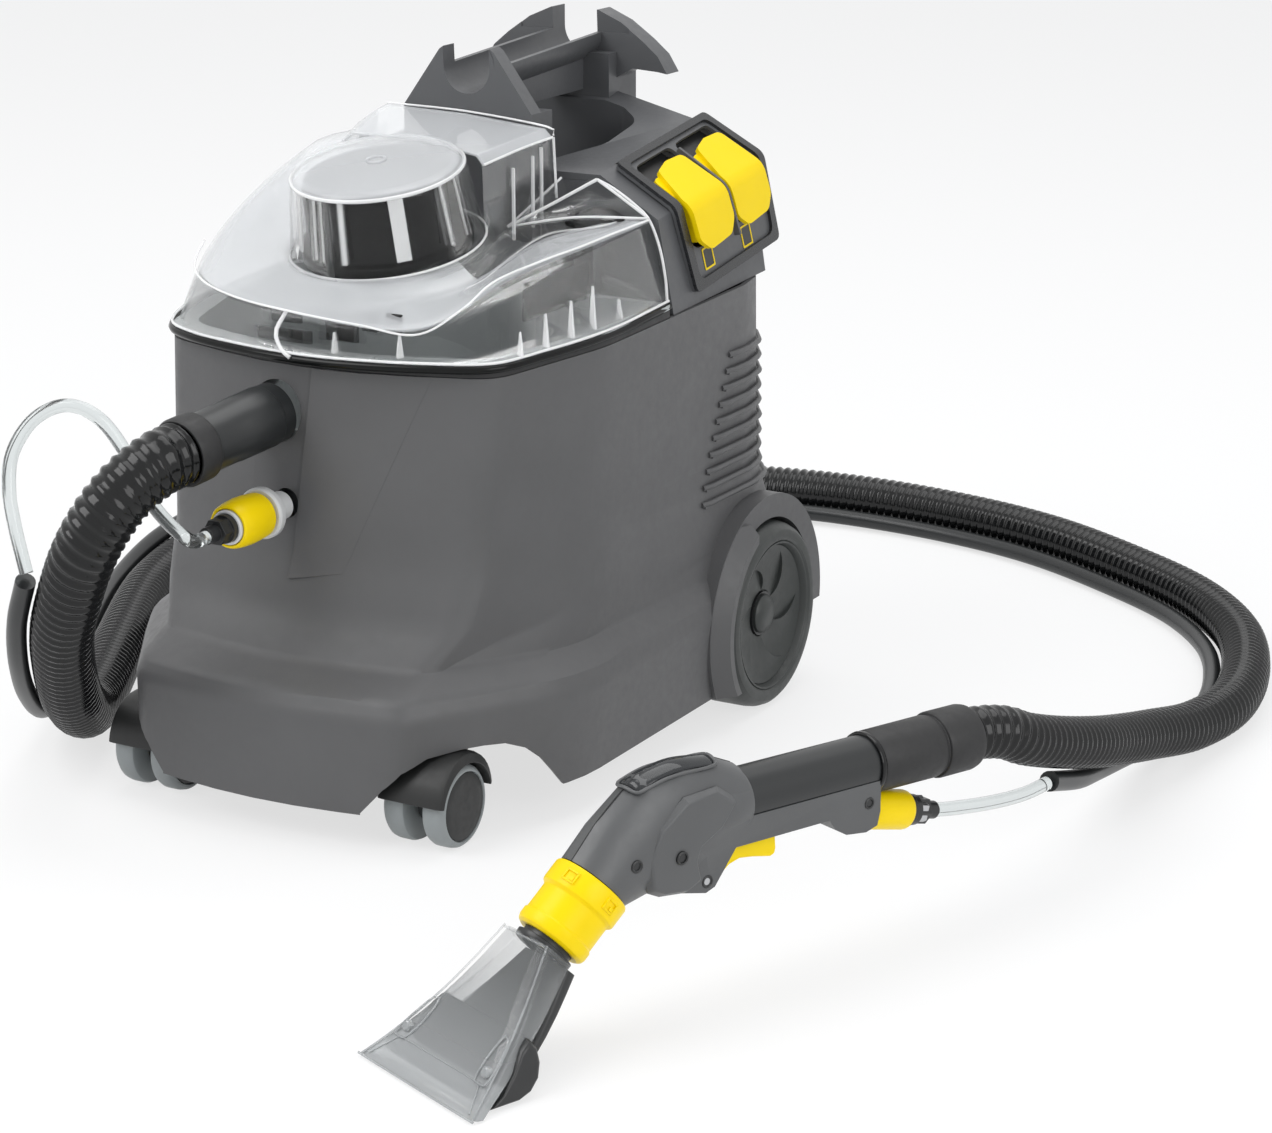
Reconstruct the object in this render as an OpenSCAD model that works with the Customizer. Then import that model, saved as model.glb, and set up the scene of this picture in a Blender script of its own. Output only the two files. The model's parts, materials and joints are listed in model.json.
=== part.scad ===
// Compact spray extraction cleaner with its hoses and upholstery hand tool, in millimetres.
// +Z is up, the hose inlet looks towards -Y, and the origin is on the floor under the machine's middle.

/* [Body] */
// Height of the body rim at its front edge
rim_h = 268; // [264:1:272]
// Rise of the rim for each millimetre towards the rear
rim_rise = 0.04; // [0.03:0.005:0.05]
// Distance from the origin to the front of the rim
rim_front = 150; // [147:1:154]
// Distance from the origin to the rear wall at the rim
rim_rear = 200; // [198:1:206]
// Half width of the rim at its front corners
rim_half_front = 115; // [112:1:118]
// Half width of the rim at its rear corners
rim_half_rear = 146; // [144:1:150]
// Height of the skirt's lower edge above the floor
skirt_h = 24; // [20:1:28]
// Height of the shoulder that tops the skirt
ledge_h = 90; // [86:1:93]
// Distance from the origin to the front of the skirt
skirt_front = 212; // [208:1:216]
// Half width of the skirt beside the rear wheels
skirt_half = 158; // [155:1:160]
// Wall thickness of the housing
wall = 3; // [2:0.5:4]

/* [Tank and lid] */
// Height of the tank's floor
tank_floor = 150; // [145:1:165]
// Wall thickness of the clear mouldings
clear_t = 2.5; // [2:0.5:3]
// Height of the black seal under the tank's rim
seal_h = 5; // [4:0.5:6]
// Thickness of the tank's rim flange
flange_t = 3; // [2:0.5:4]
// Where the lid and the tank end at the rear
lid_rear = 50; // [48:1:51]
// Height of the lid's flat roof above the rim, at its rear edge
roof_rise = 85; // [82:1:87]
// Outer radius of the turret at its top
turret_r = 52; // [50:1:54]
// Height of the turret's roof above its foot
turret_h = 46; // [42:1:48]
// Forward tilt of the turret in degrees
turret_tilt = 12; // [10:1:14]
// Free travel of the float
float_travel = 12; // [8:1:16]

/* [Rear module] */
// Where the rear module starts behind the lid
module_front = 52; // [52:1:54]
// Height of the shoulder edge above the rim, at the module's front
shoulder_rise = 66; // [62:1:70]
// Half width at the shoulder edge
shoulder_half = 128; // [126:1:130]
// Climb of the module's top for each millimetre towards the rear
deck_rise = 0.134; // [0.12:0.002:0.14]
// Depth of the grip recess below the shoulder edge
recess_depth = 14; // [8:1:16]
// Width of one rocker along the shoulder
rocker_w = 46; // [42:1:47]
// Swing of a rocker each way in degrees
rocker_swing = 6; // [4:1:7]

/* [Handle] */
// Inner radius of the half-round cradle for the wand
cradle_r = 16.5; // [15:0.5:17]
// Height of the cradle's axis above the shoulder edge, at its front end
cradle_rise = 85; // [83:1:88]
// Upward slope of the cradle in degrees
cradle_slope = 3; // [2:0.5:3]
// Where the front plate of the handle stands
plate_y = 41; // [40:1:42]
// Height of the wing tips above the cradle's axis
wing_rise = 21; // [19:1:23]

/* [Wheels] */
// Radius of a rear wheel
wheel_r = 61.5; // [60:0.5:62.5]
// Width of a rear wheel
wheel_w = 39; // [36:1:40]
// Distance from the middle to a rear wheel's outer face
wheel_out = 165; // [164:1:166]
// Distance of the rear axle behind the origin
axle_y = 146; // [144:1:148]
// Radius of the rear axle
axle_r = 6; // [5:0.5:7]
// Radius of a caster wheel
caster_r = 25; // [24:0.5:26]
// Distance from the middle to a caster's swivel axis
caster_x = 97; // [95:1:99]
// Distance of the casters in front of the origin
caster_y = 145; // [143:1:147]
// Offset of a caster's axle from its swivel axis
caster_trail = 17; // [15:1:18]
// Radius of a caster's stem
stem_r = 5; // [4:0.5:6]

/* [Hand tool] */
// Radius of the grip tube
grip_r = 15.5; // [15:0.5:16]
// Height of the grip tube's axis at its front end
grip_h = 104.5; // [103:0.5:106]
// Width of the nozzle's mouth
mouth_w = 98; // [94:1:102]
// Slope of the nozzle's neck in degrees
neck_slope = 41; // [40:1:43]
// Outer radius of the yellow collar
collar_r = 21.5; // [21:0.5:23]
// Swing of the trigger in degrees
trigger_swing = 4; // [3:1:4]
// Outer radius of the machine's coupling sleeve
sleeve_r = 13.5; // [12:0.5:14]
// Travel of a coupling sleeve
sleeve_travel = 4; // [3:0.5:4]

/* [Hoses] */
// Outer diameter of the suction hose
hose_d = 38; // [36:1:40]
// Outer diameter of the suction hose where it meets the tool
hose_end_d = 30; // [28:1:34]
// Outer diameter of the sheath beside the suction hose
sheath_d = 12; // [10:1:13]
// Outer diameter of the clear spray hose
spray_d = 8; // [7:0.5:9]

/* [Fits] */
// Radial clearance between a shaft and its running bore
run_gap = 0.05; // [0.02:0.01:0.1]
// Clearance between neighbours that don't touch
gap = 0.4; // [0.3:0.1:0.6]

/* [Hidden] */

$fn = 48;
corner_steps = 4;         // segments in each rounded corner of a lofted outline
cut = 1;                  // how far a cutting solid runs past what it cuts

// Heights above the floor that follow from the rim
roof_h = rim_h + roof_rise;
shoulder_h = rim_h + shoulder_rise;
recess_floor = shoulder_h - recess_depth;
cradle_h = shoulder_h + cradle_rise;
wing_h = cradle_h + wing_rise;

// Heights on the sloping planes
function rim_z(y) = rim_h + rim_rise * (y + rim_front);
function deck_z(y) = shoulder_h + deck_rise * (y - module_front);

// Outline levels of the body:
// height, front, corner x, corner y, side x, side y, rear x, rear y, rear corner radius
levels = [
    [skirt_h, skirt_front, 90, skirt_front - 15, skirt_half - 5, 98, skirt_half - 2, rim_rear - 4, 34],
    [ledge_h - 10, skirt_front - 2, 94, skirt_front - 20, skirt_half - 1, 95, skirt_half + 1,
        rim_rear + 24, 34],
    [ledge_h, skirt_front - 7, 93, skirt_front - 26, skirt_half - 3, 92, skirt_half - 1,
        rim_rear + 24, 38],
    [ledge_h + 12, rim_front + 40, 95, 166, skirt_half - 11, 80, skirt_half - 6, rim_rear + 20, 44],
    [ledge_h + 35, rim_front + 23, rim_half_front - 9, 142, 143, 55, rim_half_rear + 3,
        rim_rear + 12, 54],
    [ledge_h + 70, rim_front + 13, rim_half_front - 5, 128, 139, 40, rim_half_rear - 2,
        rim_rear + 5, 60],
    [rim_h, rim_front, rim_half_front, rim_front - 32, 137, 30, rim_half_rear, rim_rear, 60]];

function unit(v) = v / norm(v);
function flat_angle(v) = atan2(v[1], v[0]);

// The points of one rounded corner; p, c and n are the corners before, at and after it
function corner_arc(p, c, n, r) =
    let (u = unit([p[0] - c[0], p[1] - c[1]]), v = unit([n[0] - c[0], n[1] - c[1]]),
        half = acos(u * v) / 2, o = [c[0], c[1]] + unit(u + v) * r / sin(half),
        start = flat_angle([c[0], c[1]] + u * r / tan(half) - o))
    [for (i = [0:corner_steps]) o + r * [cos(start + (180 - 2 * half) * i / corner_steps),
        sin(start + (180 - 2 * half) * i / corner_steps)]];

// A closed outline from corners given as [x, y, radius], counter-clockwise
function rounded(c) = [for (i = [0:len(c) - 1])
    each corner_arc(c[(i + len(c) - 1) % len(c)], c[i], c[(i + 1) % len(c)], c[i][2])];

// The corners of a seven-cornered outline, symmetric about X, drawn in by t
function seven(front, ax, ay, bx, by, cx, cy, t, rear_r) = [[0, t - front, 1.6 * front],
    [ax - t, t - ay, 24], [bx - t, -by, 110], [cx - t, cy - t, rear_r],
    [t - cx, cy - t, rear_r], [t - bx, -by, 110], [t - ax, t - ay, 24]];

// One ring of the body, drawn in by t and lifted by up
function body_ring(l, t = 0, up = 0) =
    [for (p = rounded(seven(l[1], l[2], l[3], l[4], l[5], l[6], l[7], t, l[8] - t)))
        [p[0], p[1], l[0] + up + (l[0] >= rim_h ? rim_rise * (p[1] + rim_front) : 0)]];

// One ring of the tank, which ends flat at lid_rear
function bowl_ring(z, rise, front, ax, ay, bx, by, cx, t = 0) =
    [for (p = rounded(seven(front, ax, ay, bx, by, cx, lid_rear, t, 6)))
        [p[0], p[1], z + rise * (p[1] - lid_rear)]];

// A closed solid through rings that all have the same number of points
module loft(rings) {
    n = len(rings[0]);
    m = len(rings);
    polyhedron(
        points = [for (r = rings) each r],
        faces = [
            for (i = [1:n - 2]) [0, i, i + 1],
            for (i = [1:n - 2]) [(m - 1) * n, (m - 1) * n + i + 1, (m - 1) * n + i],
            for (j = [0:m - 2], i = [0:n - 1])
                [j * n + i, (j + 1) * n + i, (j + 1) * n + (i + 1) % n],
            for (j = [0:m - 2], i = [0:n - 1])
                [j * n + i, (j + 1) * n + (i + 1) % n, j * n + (i + 1) % n]],
        convexity = 8);
}

module along_x(x0, x1, r) { translate([x0, 0, 0]) rotate([0, 90, 0]) cylinder(h = x1 - x0, r = r); }
module along_y(y0, y1, r) { translate([0, y0, 0]) rotate([-90, 0, 0]) cylinder(h = y1 - y0, r = r); }
module box(x, y, z) { translate([x[0], y[0], z[0]]) cube([x[1] - x[0], y[1] - y[0], z[1] - z[0]]); }
module both_sides() { children(); mirror([1, 0, 0]) children(); }

// ---------------------------------------------------------------- housing
well_in = wheel_out - wheel_w - 6;      // inner face of a wheel well
well_wall = 4;
well_r = wheel_r + 2.5;
fender_r = wheel_r + 18;
fender_foot = 52;                       // where the fender ends behind the wheel
arch_h = 2 * caster_r + 9;

inlet_x = -22;
inlet_z = rim_h - 29;
inlet_r = 18;
inlet_y = -rim_front - 2;               // where the inlet leaves the front wall
inlet_len = 62;
inlet_dip = 6;                          // downward slope of the inlet in degrees
inlet_yaw = -7.5;                       // turn of the inlet towards the left in degrees

plug_x = -12;
plug_z = rim_h - 81.5;
plug_y = -rim_front - 15;
plug_r = 8.5;

gland_x = -70;
gland_z = ledge_h + 40;
gland_r = 8;

module at_axle() { translate([0, axle_y, wheel_r]) children(); }
module at_inlet() { translate([inlet_x, inlet_y, inlet_z]) rotate([inlet_dip, 0, inlet_yaw]) children(); }
module at_plug() { translate([plug_x, plug_y, plug_z]) children(); }

module body_solid(t = 0, ends = 0) {
    last = len(levels) - 1;
    loft([for (i = [0:last]) body_ring(levels[i], t, i == 0 ? -ends : (i == last ? ends : 0))]);
}

louvre_count = 10;
louvre_pitch = 10;
module louvre_slabs() {
    for (i = [0:louvre_count - 1]) {
        z = rim_h - 122 + i * louvre_pitch;
        translate([0, 84 + 4 * i, z]) box([120, rim_half_rear + 20], [0, 130], [0, 4]);
    }
}

// The arch over a caster, cut across the chamfered corner of the skirt
module caster_arch() {
    translate([121.5, -147.5, 0]) rotate([0, 0, 57.5]) translate([0, 24, 0]) rotate([90, 0, 0])
        linear_extrude(60) polygon([[-72, -5], [-72, 25], [-68, 31], [-62, 40], [-52, 50], [-36, 57],
            [-14, 59], [0, 59], [14, 58], [27, 53], [38, 44], [47, 33], [54, 24], [54, -5]]);
}
// The body's edge in front of a rear wheel, which stands out as far as the tyre
module wheel_flare() {
    intersection() {
        at_axle() translate([skirt_half - 1, 0, 0]) rotate([0, 90, 0])
            cylinder(h = 10, r1 = fender_r, r2 = well_r + 5);
        box([0, 200], [0, axle_y - 30], [skirt_h, 130]);
    }
}

module lower_housing() {
    color([0.44, 0.44, 0.45]) difference() {
        union() {
            difference() {
                body_solid();
                body_solid(wall, cut);
            }
            both_sides() intersection() {
                difference() {
                    at_axle() along_x(well_in, skirt_half, fender_r);
                    box([0, 200], [axle_y, 300], [0, fender_foot]);
                    box([0, 200], [0, 300], [-20, skirt_h]);
                }
                box([0, 200], [0, 300], [0, 300]);
            }
            both_sides() wheel_flare();
            both_sides() intersection() {
                difference() {
                    body_solid(-2);
                    body_solid(wall / 2, cut);
                }
                louvre_slabs();
            }
        }
        both_sides() at_axle() along_x(well_in + well_wall, wheel_out + 10, well_r);
        at_axle() along_x(-wheel_out, wheel_out, axle_r + gap);
        both_sides() caster_arch();
        at_inlet() along_y(-20, 20, inlet_r + gap);
        at_plug() along_y(-4, 30, plug_r + gap);
        translate([gland_x, 0, gland_z]) along_y(rim_rear - 20, rim_rear + 30, gland_r + gap);
    }
}

// ---------------------------------------------------------------- chassis
plate_z = wheel_r + axle_r + 4;
plate_t = 4;
plate_top = plate_z + plate_t;
socket_r = 9;
module chassis_outline() {
    polygon(rounded(seven(rim_front + 50, 92, 185, skirt_half - 12, 90, skirt_half - 6,
        rim_rear + 14, wall, 34)));
}
screw_spots = [[60, -165], [-60, -165], [70, 205], [-70, 205], [122, 20], [-122, 20]];
screw_r = 2.5;

module base_plate() {
    color([0.12, 0.12, 0.13]) difference() {
        union() {
            translate([0, 0, plate_z]) linear_extrude(plate_t) chassis_outline();
            both_sides() box([60, 72], [axle_y - 14, axle_y + 14], [wheel_r - 12, plate_z]);
        }
        both_sides() box([well_in - gap, 200], [axle_y - fender_r - gap, 300], [0, 200]);
        at_axle() along_x(-100, 100, axle_r + run_gap);
        both_sides() translate([caster_x, -caster_y, 0]) cylinder(h = 200, r = socket_r + run_gap);
        for (p = screw_spots) translate([p[0], p[1], 0]) cylinder(h = 200, r = screw_r + run_gap);
    }
}

module base_screws() {
    color([0.6, 0.6, 0.62]) for (p = screw_spots) translate([p[0], p[1], plate_z - 2.4]) {
        cylinder(h = 2.4 - run_gap, r = 2 * screw_r);
        cylinder(h = 9, r = screw_r);
    }
}

module rear_axle() { color([0.75, 0.75, 0.77]) at_axle() along_x(6 - wheel_out, wheel_out - 6, axle_r); }

stem_top = plate_top + 10;
module caster_sockets() {
    color([0.12, 0.12, 0.13]) both_sides() translate([caster_x, -caster_y, 0]) difference() {
        union() {
            translate([0, 0, arch_h + 1]) cylinder(h = plate_z - arch_h - 1 - run_gap, r = socket_r + 4);
            translate([0, 0, arch_h + 1]) cylinder(h = stem_top - arch_h + 1, r = socket_r);
        }
        translate([0, 0, -cut]) cylinder(h = stem_top + cut + gap, r = stem_r + run_gap);
    }
}

module fresh_tank_block(t) {
    translate([0, 0, plate_top + gap + t]) linear_extrude(tank_floor - plate_top - 5 - 2 * t)
        polygon(rounded([[t - 80, t - 124, 14], [80 - t, t - 124, 14], [108 - t, -34, 60],
            [112 - t, 58 - t, 10], [t - 112, 58 - t, 10], [t - 108, -34, 60]]));
}
module fresh_water_tank() {
    color([0.8, 0.82, 0.82]) difference() {
        fresh_tank_block(0);
        fresh_tank_block(wall);
        translate([80, -20, tank_floor - 30]) cylinder(h = 60, r = 14);
    }
}

// ---------------------------------------------------------------- motor and pump
motor_x = 42;
duct_shift = 24;                        // the duct's mouth lies farther from the middle than the motor
motor_y = 134;
motor_r = 58;
motor_top = 160;
motor_wall = 3;
shaft_r = 4;
duct_r = 14;
duct_z = rim_h + 34;
duct_turn = atan2(duct_shift, motor_y - module_front);
duct_len = norm([duct_shift, motor_y - module_front]) - 10;
module at_motor() { translate([motor_x, motor_y, plate_top + gap]) children(); }

module turbine_housing() {
    h = motor_top - plate_top;
    color([0.2, 0.2, 0.21]) at_motor() difference() {
        union() {
            difference() {
                cylinder(h = h, r = motor_r);
                translate([0, 0, motor_wall]) cylinder(h = h - 2 * motor_wall, r = motor_r - motor_wall);
            }
            cylinder(h = 36, r = 12);
        }
        translate([0, 0, motor_wall]) cylinder(h = 40, r = shaft_r + run_gap);
        translate([0, 0, h - motor_wall - cut]) cylinder(h = 10, r = duct_r + 1.5);
        rotate([0, 0, 90]) translate([0, 0, 50]) along_x(motor_r - 10, motor_r + 10, 10);
    }
}

module turbine_rotor() {
    color([0.8, 0.8, 0.82]) at_motor() {
        translate([0, 0, motor_wall + gap]) cylinder(h = 62, r = shaft_r);
        translate([0, 0, 38]) cylinder(h = 3, r = motor_r - 10);
        translate([0, 0, 53]) difference() {
            cylinder(h = 3, r = motor_r - 10);
            translate([0, 0, -cut]) cylinder(h = 6, r = duct_r);
        }
        for (i = [0:8]) rotate([0, 0, 40 * i]) translate([duct_r + 1, -1.5, 40.5]) rotate([0, 0, 24])
            cube([motor_r - 10 - duct_r - 6, 3, 13]);
        translate([0, 0, 40]) cylinder(h = 14, r = shaft_r + 2);
    }
}

module spray_pump() {
    color([0.25, 0.25, 0.27]) translate([-58, motor_y, plate_top + gap]) {
        difference() {
            box([-28, 28], [-34, 34], [0, 62]);
            translate([0, -20, 40]) along_y(-30, 12, 6);
        }
        translate([0, 0, 62]) cylinder(h = 34, r = 24);
    }
}

module cable_gland() {
    color([0.1, 0.1, 0.1]) translate([gland_x, 0, gland_z]) difference() {
        union() {
            along_y(rim_rear - 10, rim_rear + 30, gland_r);
            along_y(rim_rear + 15, rim_rear + 19, gland_r + 5);
        }
        along_y(rim_rear - 20, rim_rear + 40, 4);
    }
}

module suction_duct() {
    foot = motor_top + 2 * gap;
    color([0.15, 0.15, 0.16]) difference() {
        union() {
            translate([motor_x, motor_y, foot]) cylinder(h = duct_z + duct_r - foot, r = duct_r);
            duct_arm(duct_r - 1, 0);
        }
        translate([motor_x, motor_y, foot - 10])
            cylinder(h = duct_z + duct_r + 8 - foot, r = duct_r - 2);
        duct_arm(duct_r - 3, 20);
    }
}
module duct_arm(r, more) {
    translate([motor_x, motor_y, duct_z]) rotate([0, 0, duct_turn]) along_y(-duct_len - more, 0, r);
}

// ---------------------------------------------------------------- front connections
module inlet_elbow() {
    color([0.15, 0.16, 0.16]) at_inlet() difference() {
        union() {
            along_y(-inlet_len, 8, inlet_r);
            along_y(2, 6, inlet_r + 4);
        }
        along_y(-inlet_len - cut, 8 + cut, inlet_r - 3);
    }
}

module machine_cuff() {
    color([0.08, 0.08, 0.08]) at_inlet() difference() {
        along_y(-inlet_len - 10, -inlet_len + 6, inlet_r + 2.5);
        along_y(-inlet_len - 20, -inlet_len + 20, inlet_r + run_gap);
    }
}

module coupling_socket() {
    color([0.75, 0.75, 0.76]) at_plug() difference() {
        union() {
            along_y(-7, 14, plug_r);
            along_y(-9, -5, plug_r + 4);
        }
        along_y(-20, 20, 4);
    }
}

// A plug with its hex nut, which points towards -Y from its own origin
module coupling_plug() {
    along_y(-36, 0, plug_r);
    translate([0, -36, 0]) rotate([90, 0, 0]) cylinder(h = 8, r = 8, $fn = 6);
    along_y(-52, -40, spray_d / 2 + 1);
}

module coupling_sleeve(r) {
    rotate([90, 0, 0]) rotate_extrude() polygon([[plug_r + run_gap, 1], [r - 1, 1], [r, 3], [r, 13],
        [r - 1, 16], [r, 19], [r, 28], [r - 2, 31], [plug_r + run_gap, 31]]);
}

module at_machine_plug() { at_plug() translate([0, -9 - gap, 0]) children(); }
module machine_coupling_plug() { color([0.1, 0.1, 0.1]) at_machine_plug() coupling_plug(); }
module machine_coupling_sleeve() { color([0.96, 0.9, 0.1]) at_machine_plug() coupling_sleeve(sleeve_r); }

// ---------------------------------------------------------------- rear module
shoulder_in = 40;                       // from the shoulder edge in to the flat top
shoulder_up = 24;
deck_rear = rim_rear - 20;
deck_crown = 16;                        // rise of the deck's middle line above its top edges at the rear
// One cross-section from the left bottom edge over the shoulders and the crown to the right bottom edge
function deck_ring(y, side, t, low, squeeze = 1) =
    let (z = deck_z(y), top = shoulder_half - shoulder_in - t / 2,
        crown = z + shoulder_up - t + deck_crown * (y - module_front) / 140, k = [-1, 1],
        half = [[side - t, low], [shoulder_half - t, z - t / 2], [top, z + shoulder_up - t], [30, crown]])
    [for (i = [0:7]) let (h = half[i < 4 ? i : 7 - i], m = i < 4 ? -1 : 1)
        [m * h[0] * squeeze, y, h[1]]];

module deck_solid(t = 0) {
    low = t > 0 ? -cut : gap;
    back = t > 0 ? wall : 0;
    y0 = module_front + back;
    y1 = deck_rear - 4;
    y2 = rim_rear - 2 - back;
    loft([deck_ring(y0, 139, t, rim_z(y0) + low), deck_ring(y1, 139, t, rim_z(y1) + low),
        [for (p = deck_ring(y2, 118, t, rim_z(y2) + low, 0.93))
            [p[0], p[1], p[2] < rim_z(y2) + 10 ? p[2] : p[2] - 14]]]);
}

module recess_outline(t) {
    polygon(rounded([[t - 40, 70 + t, 8], [40 - t, 70 + t, 8], [58 - t, 112, 30], [60 - t, 150, 14],
        [44 - t, 160 - t, 8], [t - 44, 160 - t, 8], [t - 60, 150, 14], [t - 58, 112, 30]]));
}

rocker_tilt = atan(deck_rise);
rocker_start = 27;                      // from the module's front to the first rocker
rocker_pitch = rocker_w + 5;
pin_in = 13;                            // how far the pivot lies inside and below the shoulder edge
pin_down = 12;
pin_r = 2;
// Frame on the shoulder edge, with +Y along the edge
module on_shoulder() {
    translate([shoulder_half, module_front, shoulder_h]) rotate([rocker_tilt, 0, 0]) children();
}

module rocker_windows(grow) {
    on_shoulder() for (i = [0:1]) translate([0, rocker_start + i * rocker_pitch - grow, 0])
        box([-42 - grow, 20], [0, rocker_w + 2 * grow], [-30 - grow, 40]);
}

tower_foot = shoulder_h + 28;
module tower_socket(t) { box([-31 - t, 31 + t], [164 - t, 200 + t], [tower_foot, wing_h + 60]); }

module rear_deck() {
    color([0.22, 0.22, 0.23]) difference() {
        union() {
            difference() {
                deck_solid();
                deck_solid(wall);
                translate([0, 0, recess_floor]) linear_extrude(100) recess_outline(0);
            }
            intersection() {
                difference() {
                    translate([0, 0, recess_floor - wall]) linear_extrude(100) recess_outline(-wall);
                    translate([0, 0, recess_floor]) linear_extrude(100) recess_outline(0);
                }
                deck_solid();
            }
            intersection() {
                on_shoulder() for (y = [rocker_start - 6, rocker_start + rocker_w + 1,
                    rocker_start + 2 * rocker_pitch - 2])
                    box([-pin_in - 10, -pin_in + 6], [y, y + 3], [-pin_down - 8, 24]);
                deck_solid(1);
            }
        }
        rocker_windows(0.8);
        on_shoulder() translate([-pin_in, 0, -pin_down]) along_y(0, 140, pin_r + run_gap);
        tower_socket(0.2);
        translate([motor_x + duct_shift, 0, duct_z]) along_y(module_front - 5, module_front + 8, duct_r + 3);
    }
}

module switch_panel() {
    color([0.1, 0.1, 0.11]) difference() {
        on_shoulder() box([-48, 5], [22, 132], [-62, 40]);
        translate([gap / 3, 0, gap / 3]) deck_solid();
        difference() {
            box([0, 300], [0, 300], [0, 500]);
            translate([2.4, 0, 2.4]) deck_solid();
        }
        rocker_windows(0.8);
        box([0, 300], [0, 300], [0, rim_z(150) + 6]);
    }
}

module switch_pin() {
    color([0.7, 0.7, 0.72]) on_shoulder() translate([-pin_in, 0, -pin_down])
        along_y(rocker_start - 7, rocker_start + 2 * rocker_pitch + 3, pin_r);
}

// One rocker; i is its place along the shoulder
module rocker(i) {
    color([1, 0.93, 0]) on_shoulder() translate([0, rocker_start + i * rocker_pitch, 0]) difference() {
        union() {
            rotate([90, 0, 0]) translate([0, 0, -rocker_w]) linear_extrude(rocker_w)
                polygon([[-35, 25], [-37, 20], [-6, 1.5], [-4, -2], [2.2, -21], [6, -23], [8, -20],
                    [4, 2], [0, 6], [-30, 26]]);
            translate([-pin_in, 0, -pin_down]) along_y(3, rocker_w - 3, 5);
            box([-pin_in - 2, -pin_in + 2], [8, rocker_w - 8], [-pin_down, 7]);
        }
        translate([-pin_in, 0, -pin_down]) along_y(-10, rocker_w + 10, pin_r + run_gap);
    }
}
module vacuum_rocker() { rocker(0); }
module spray_rocker() { rocker(1); }

// ---------------------------------------------------------------- handle
neck_half = 46;
plate_foot = cradle_h - 26;
deck_top_front = deck_z(module_front) + shoulder_up;
cradle_wall = 3.5;
cradle_len = 138;
module at_cradle() { translate([0, plate_y, cradle_h]) rotate([cradle_slope, 0, 0]) children(); }

module carry_handle() {
    color([0.2, 0.2, 0.21]) difference() {
        union() {
            // front plate and the neck under it
            translate([0, plate_y + 12, 0]) rotate([90, 0, 0]) linear_extrude(12)
                polygon([[-neck_half, plate_foot], [neck_half, plate_foot], [cradle_r + 3, cradle_h + 10],
                    [cradle_r, cradle_h + 12], [-cradle_r, cradle_h + 12], [-cradle_r - 3, cradle_h + 10]]);
            box([-neck_half, neck_half], [plate_y, module_front - gap],
                [seat_z + seal_h + 6, plate_foot]);
            box([-neck_half, neck_half], [plate_y, 66], [deck_top_front + 4.5, plate_foot]);
            // cradle, its web and the tower
            at_cradle() along_y(0, cradle_len, cradle_r + cradle_wall);
            box([-12, 12], [60, 170], [cradle_h - 29, cradle_h]);
            box([-31, 31], [164, 200], [tower_foot, cradle_h - 5]);
            // wings
            translate([0, 190, cradle_h]) rotate([90, 0, 0]) linear_extrude(16)
                polygon([[-68, -17], [-61, -16], [-43, -15], [-28, -23], [28, -23], [43, -15], [61, -16],
                    [68, -17], [61, -6], [50, 3], [34, 14], [cradle_r + 1, wing_rise],
                    [-cradle_r - 1, wing_rise], [-34, 14], [-50, 3], [-61, -6]]);
        }
        // the open half of the cradle
        at_cradle() along_y(-cut, cradle_len + 30, cradle_r);
        at_cradle() box([-cradle_r, cradle_r], [-cut, cradle_len + 30], [0, 60]);
        at_cradle() box([-40, 40], [12 + cut, cradle_len - 4], [0, 60]);
        box([-27, 27], [168, 196], [tower_foot - 12, cradle_h - 23]);
    }
}

// ---------------------------------------------------------------- tank
seat_z = rim_z(lid_rear);               // rim height where the bowl ends
// Outline of the tank's flange and seal at one height
function brim(z) = bowl_ring(z, rim_rise, rim_front, rim_half_front, 118, 137, 30, 140);
// The room that the lid and the tank leave for the handle's neck, grown by t
module neck_room(t) {
    box([-neck_half - 1.5 - t, neck_half + 1.5 + t], [plate_y - 1 - t, 90], [100, 500]);
}

module dirty_water_tank() {
    color([0.85, 0.87, 0.87, 0.5]) difference() {
        union() {
            loft([bowl_ring(tank_floor, 0, 138, 90, 108, 118, 30, 122, 3),
                bowl_ring(seat_z - 40, rim_rise, 144, 106, 112, 130, 29, 136, 3),
                bowl_ring(seat_z + seal_h + flange_t, rim_rise, 145, 109, 113, 132, 29, 138, 3)]);
            loft([brim(seat_z + seal_h + gap / 2), brim(seat_z + seal_h + flange_t)]);
        }
        difference() {
            loft([bowl_ring(tank_floor + clear_t, 0, 138, 90, 108, 118, 30, 122, 3 + clear_t),
                bowl_ring(seat_z - 40, rim_rise, 144, 106, 112, 130, 29, 136, 3 + clear_t),
                bowl_ring(seat_z + seal_h + flange_t + cut, rim_rise, 145, 109, 113, 132, 29, 138,
                    3 + clear_t)]);
            neck_room(clear_t);
        }
        neck_room(0);
        at_inlet() along_y(-20, 40, inlet_r - 2);
    }
}

module tank_seal() {
    color([0.06, 0.06, 0.06]) difference() {
        loft([brim(seat_z + gap / 2), brim(seat_z + seal_h)]);
        difference() {
            loft([bowl_ring(seat_z - cut, rim_rise, 145, 109, 113, 132, 29, 138, 2.6),
                bowl_ring(seat_z + seal_h + cut, rim_rise, 145, 109, 113, 132, 29, 138, 2.6)]);
            neck_room(0);
        }
        neck_room(-0.4);
    }
}

// ---------------------------------------------------------------- lid
lid_foot = seat_z + seal_h + flange_t + gap / 2;
turret_y = -51.5;
turret_foot = roof_h - 22;
turret_flare = 7;
module at_turret() { translate([0, turret_y, turret_foot]) rotate([turret_tilt, 0, 0]) children(); }

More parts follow.
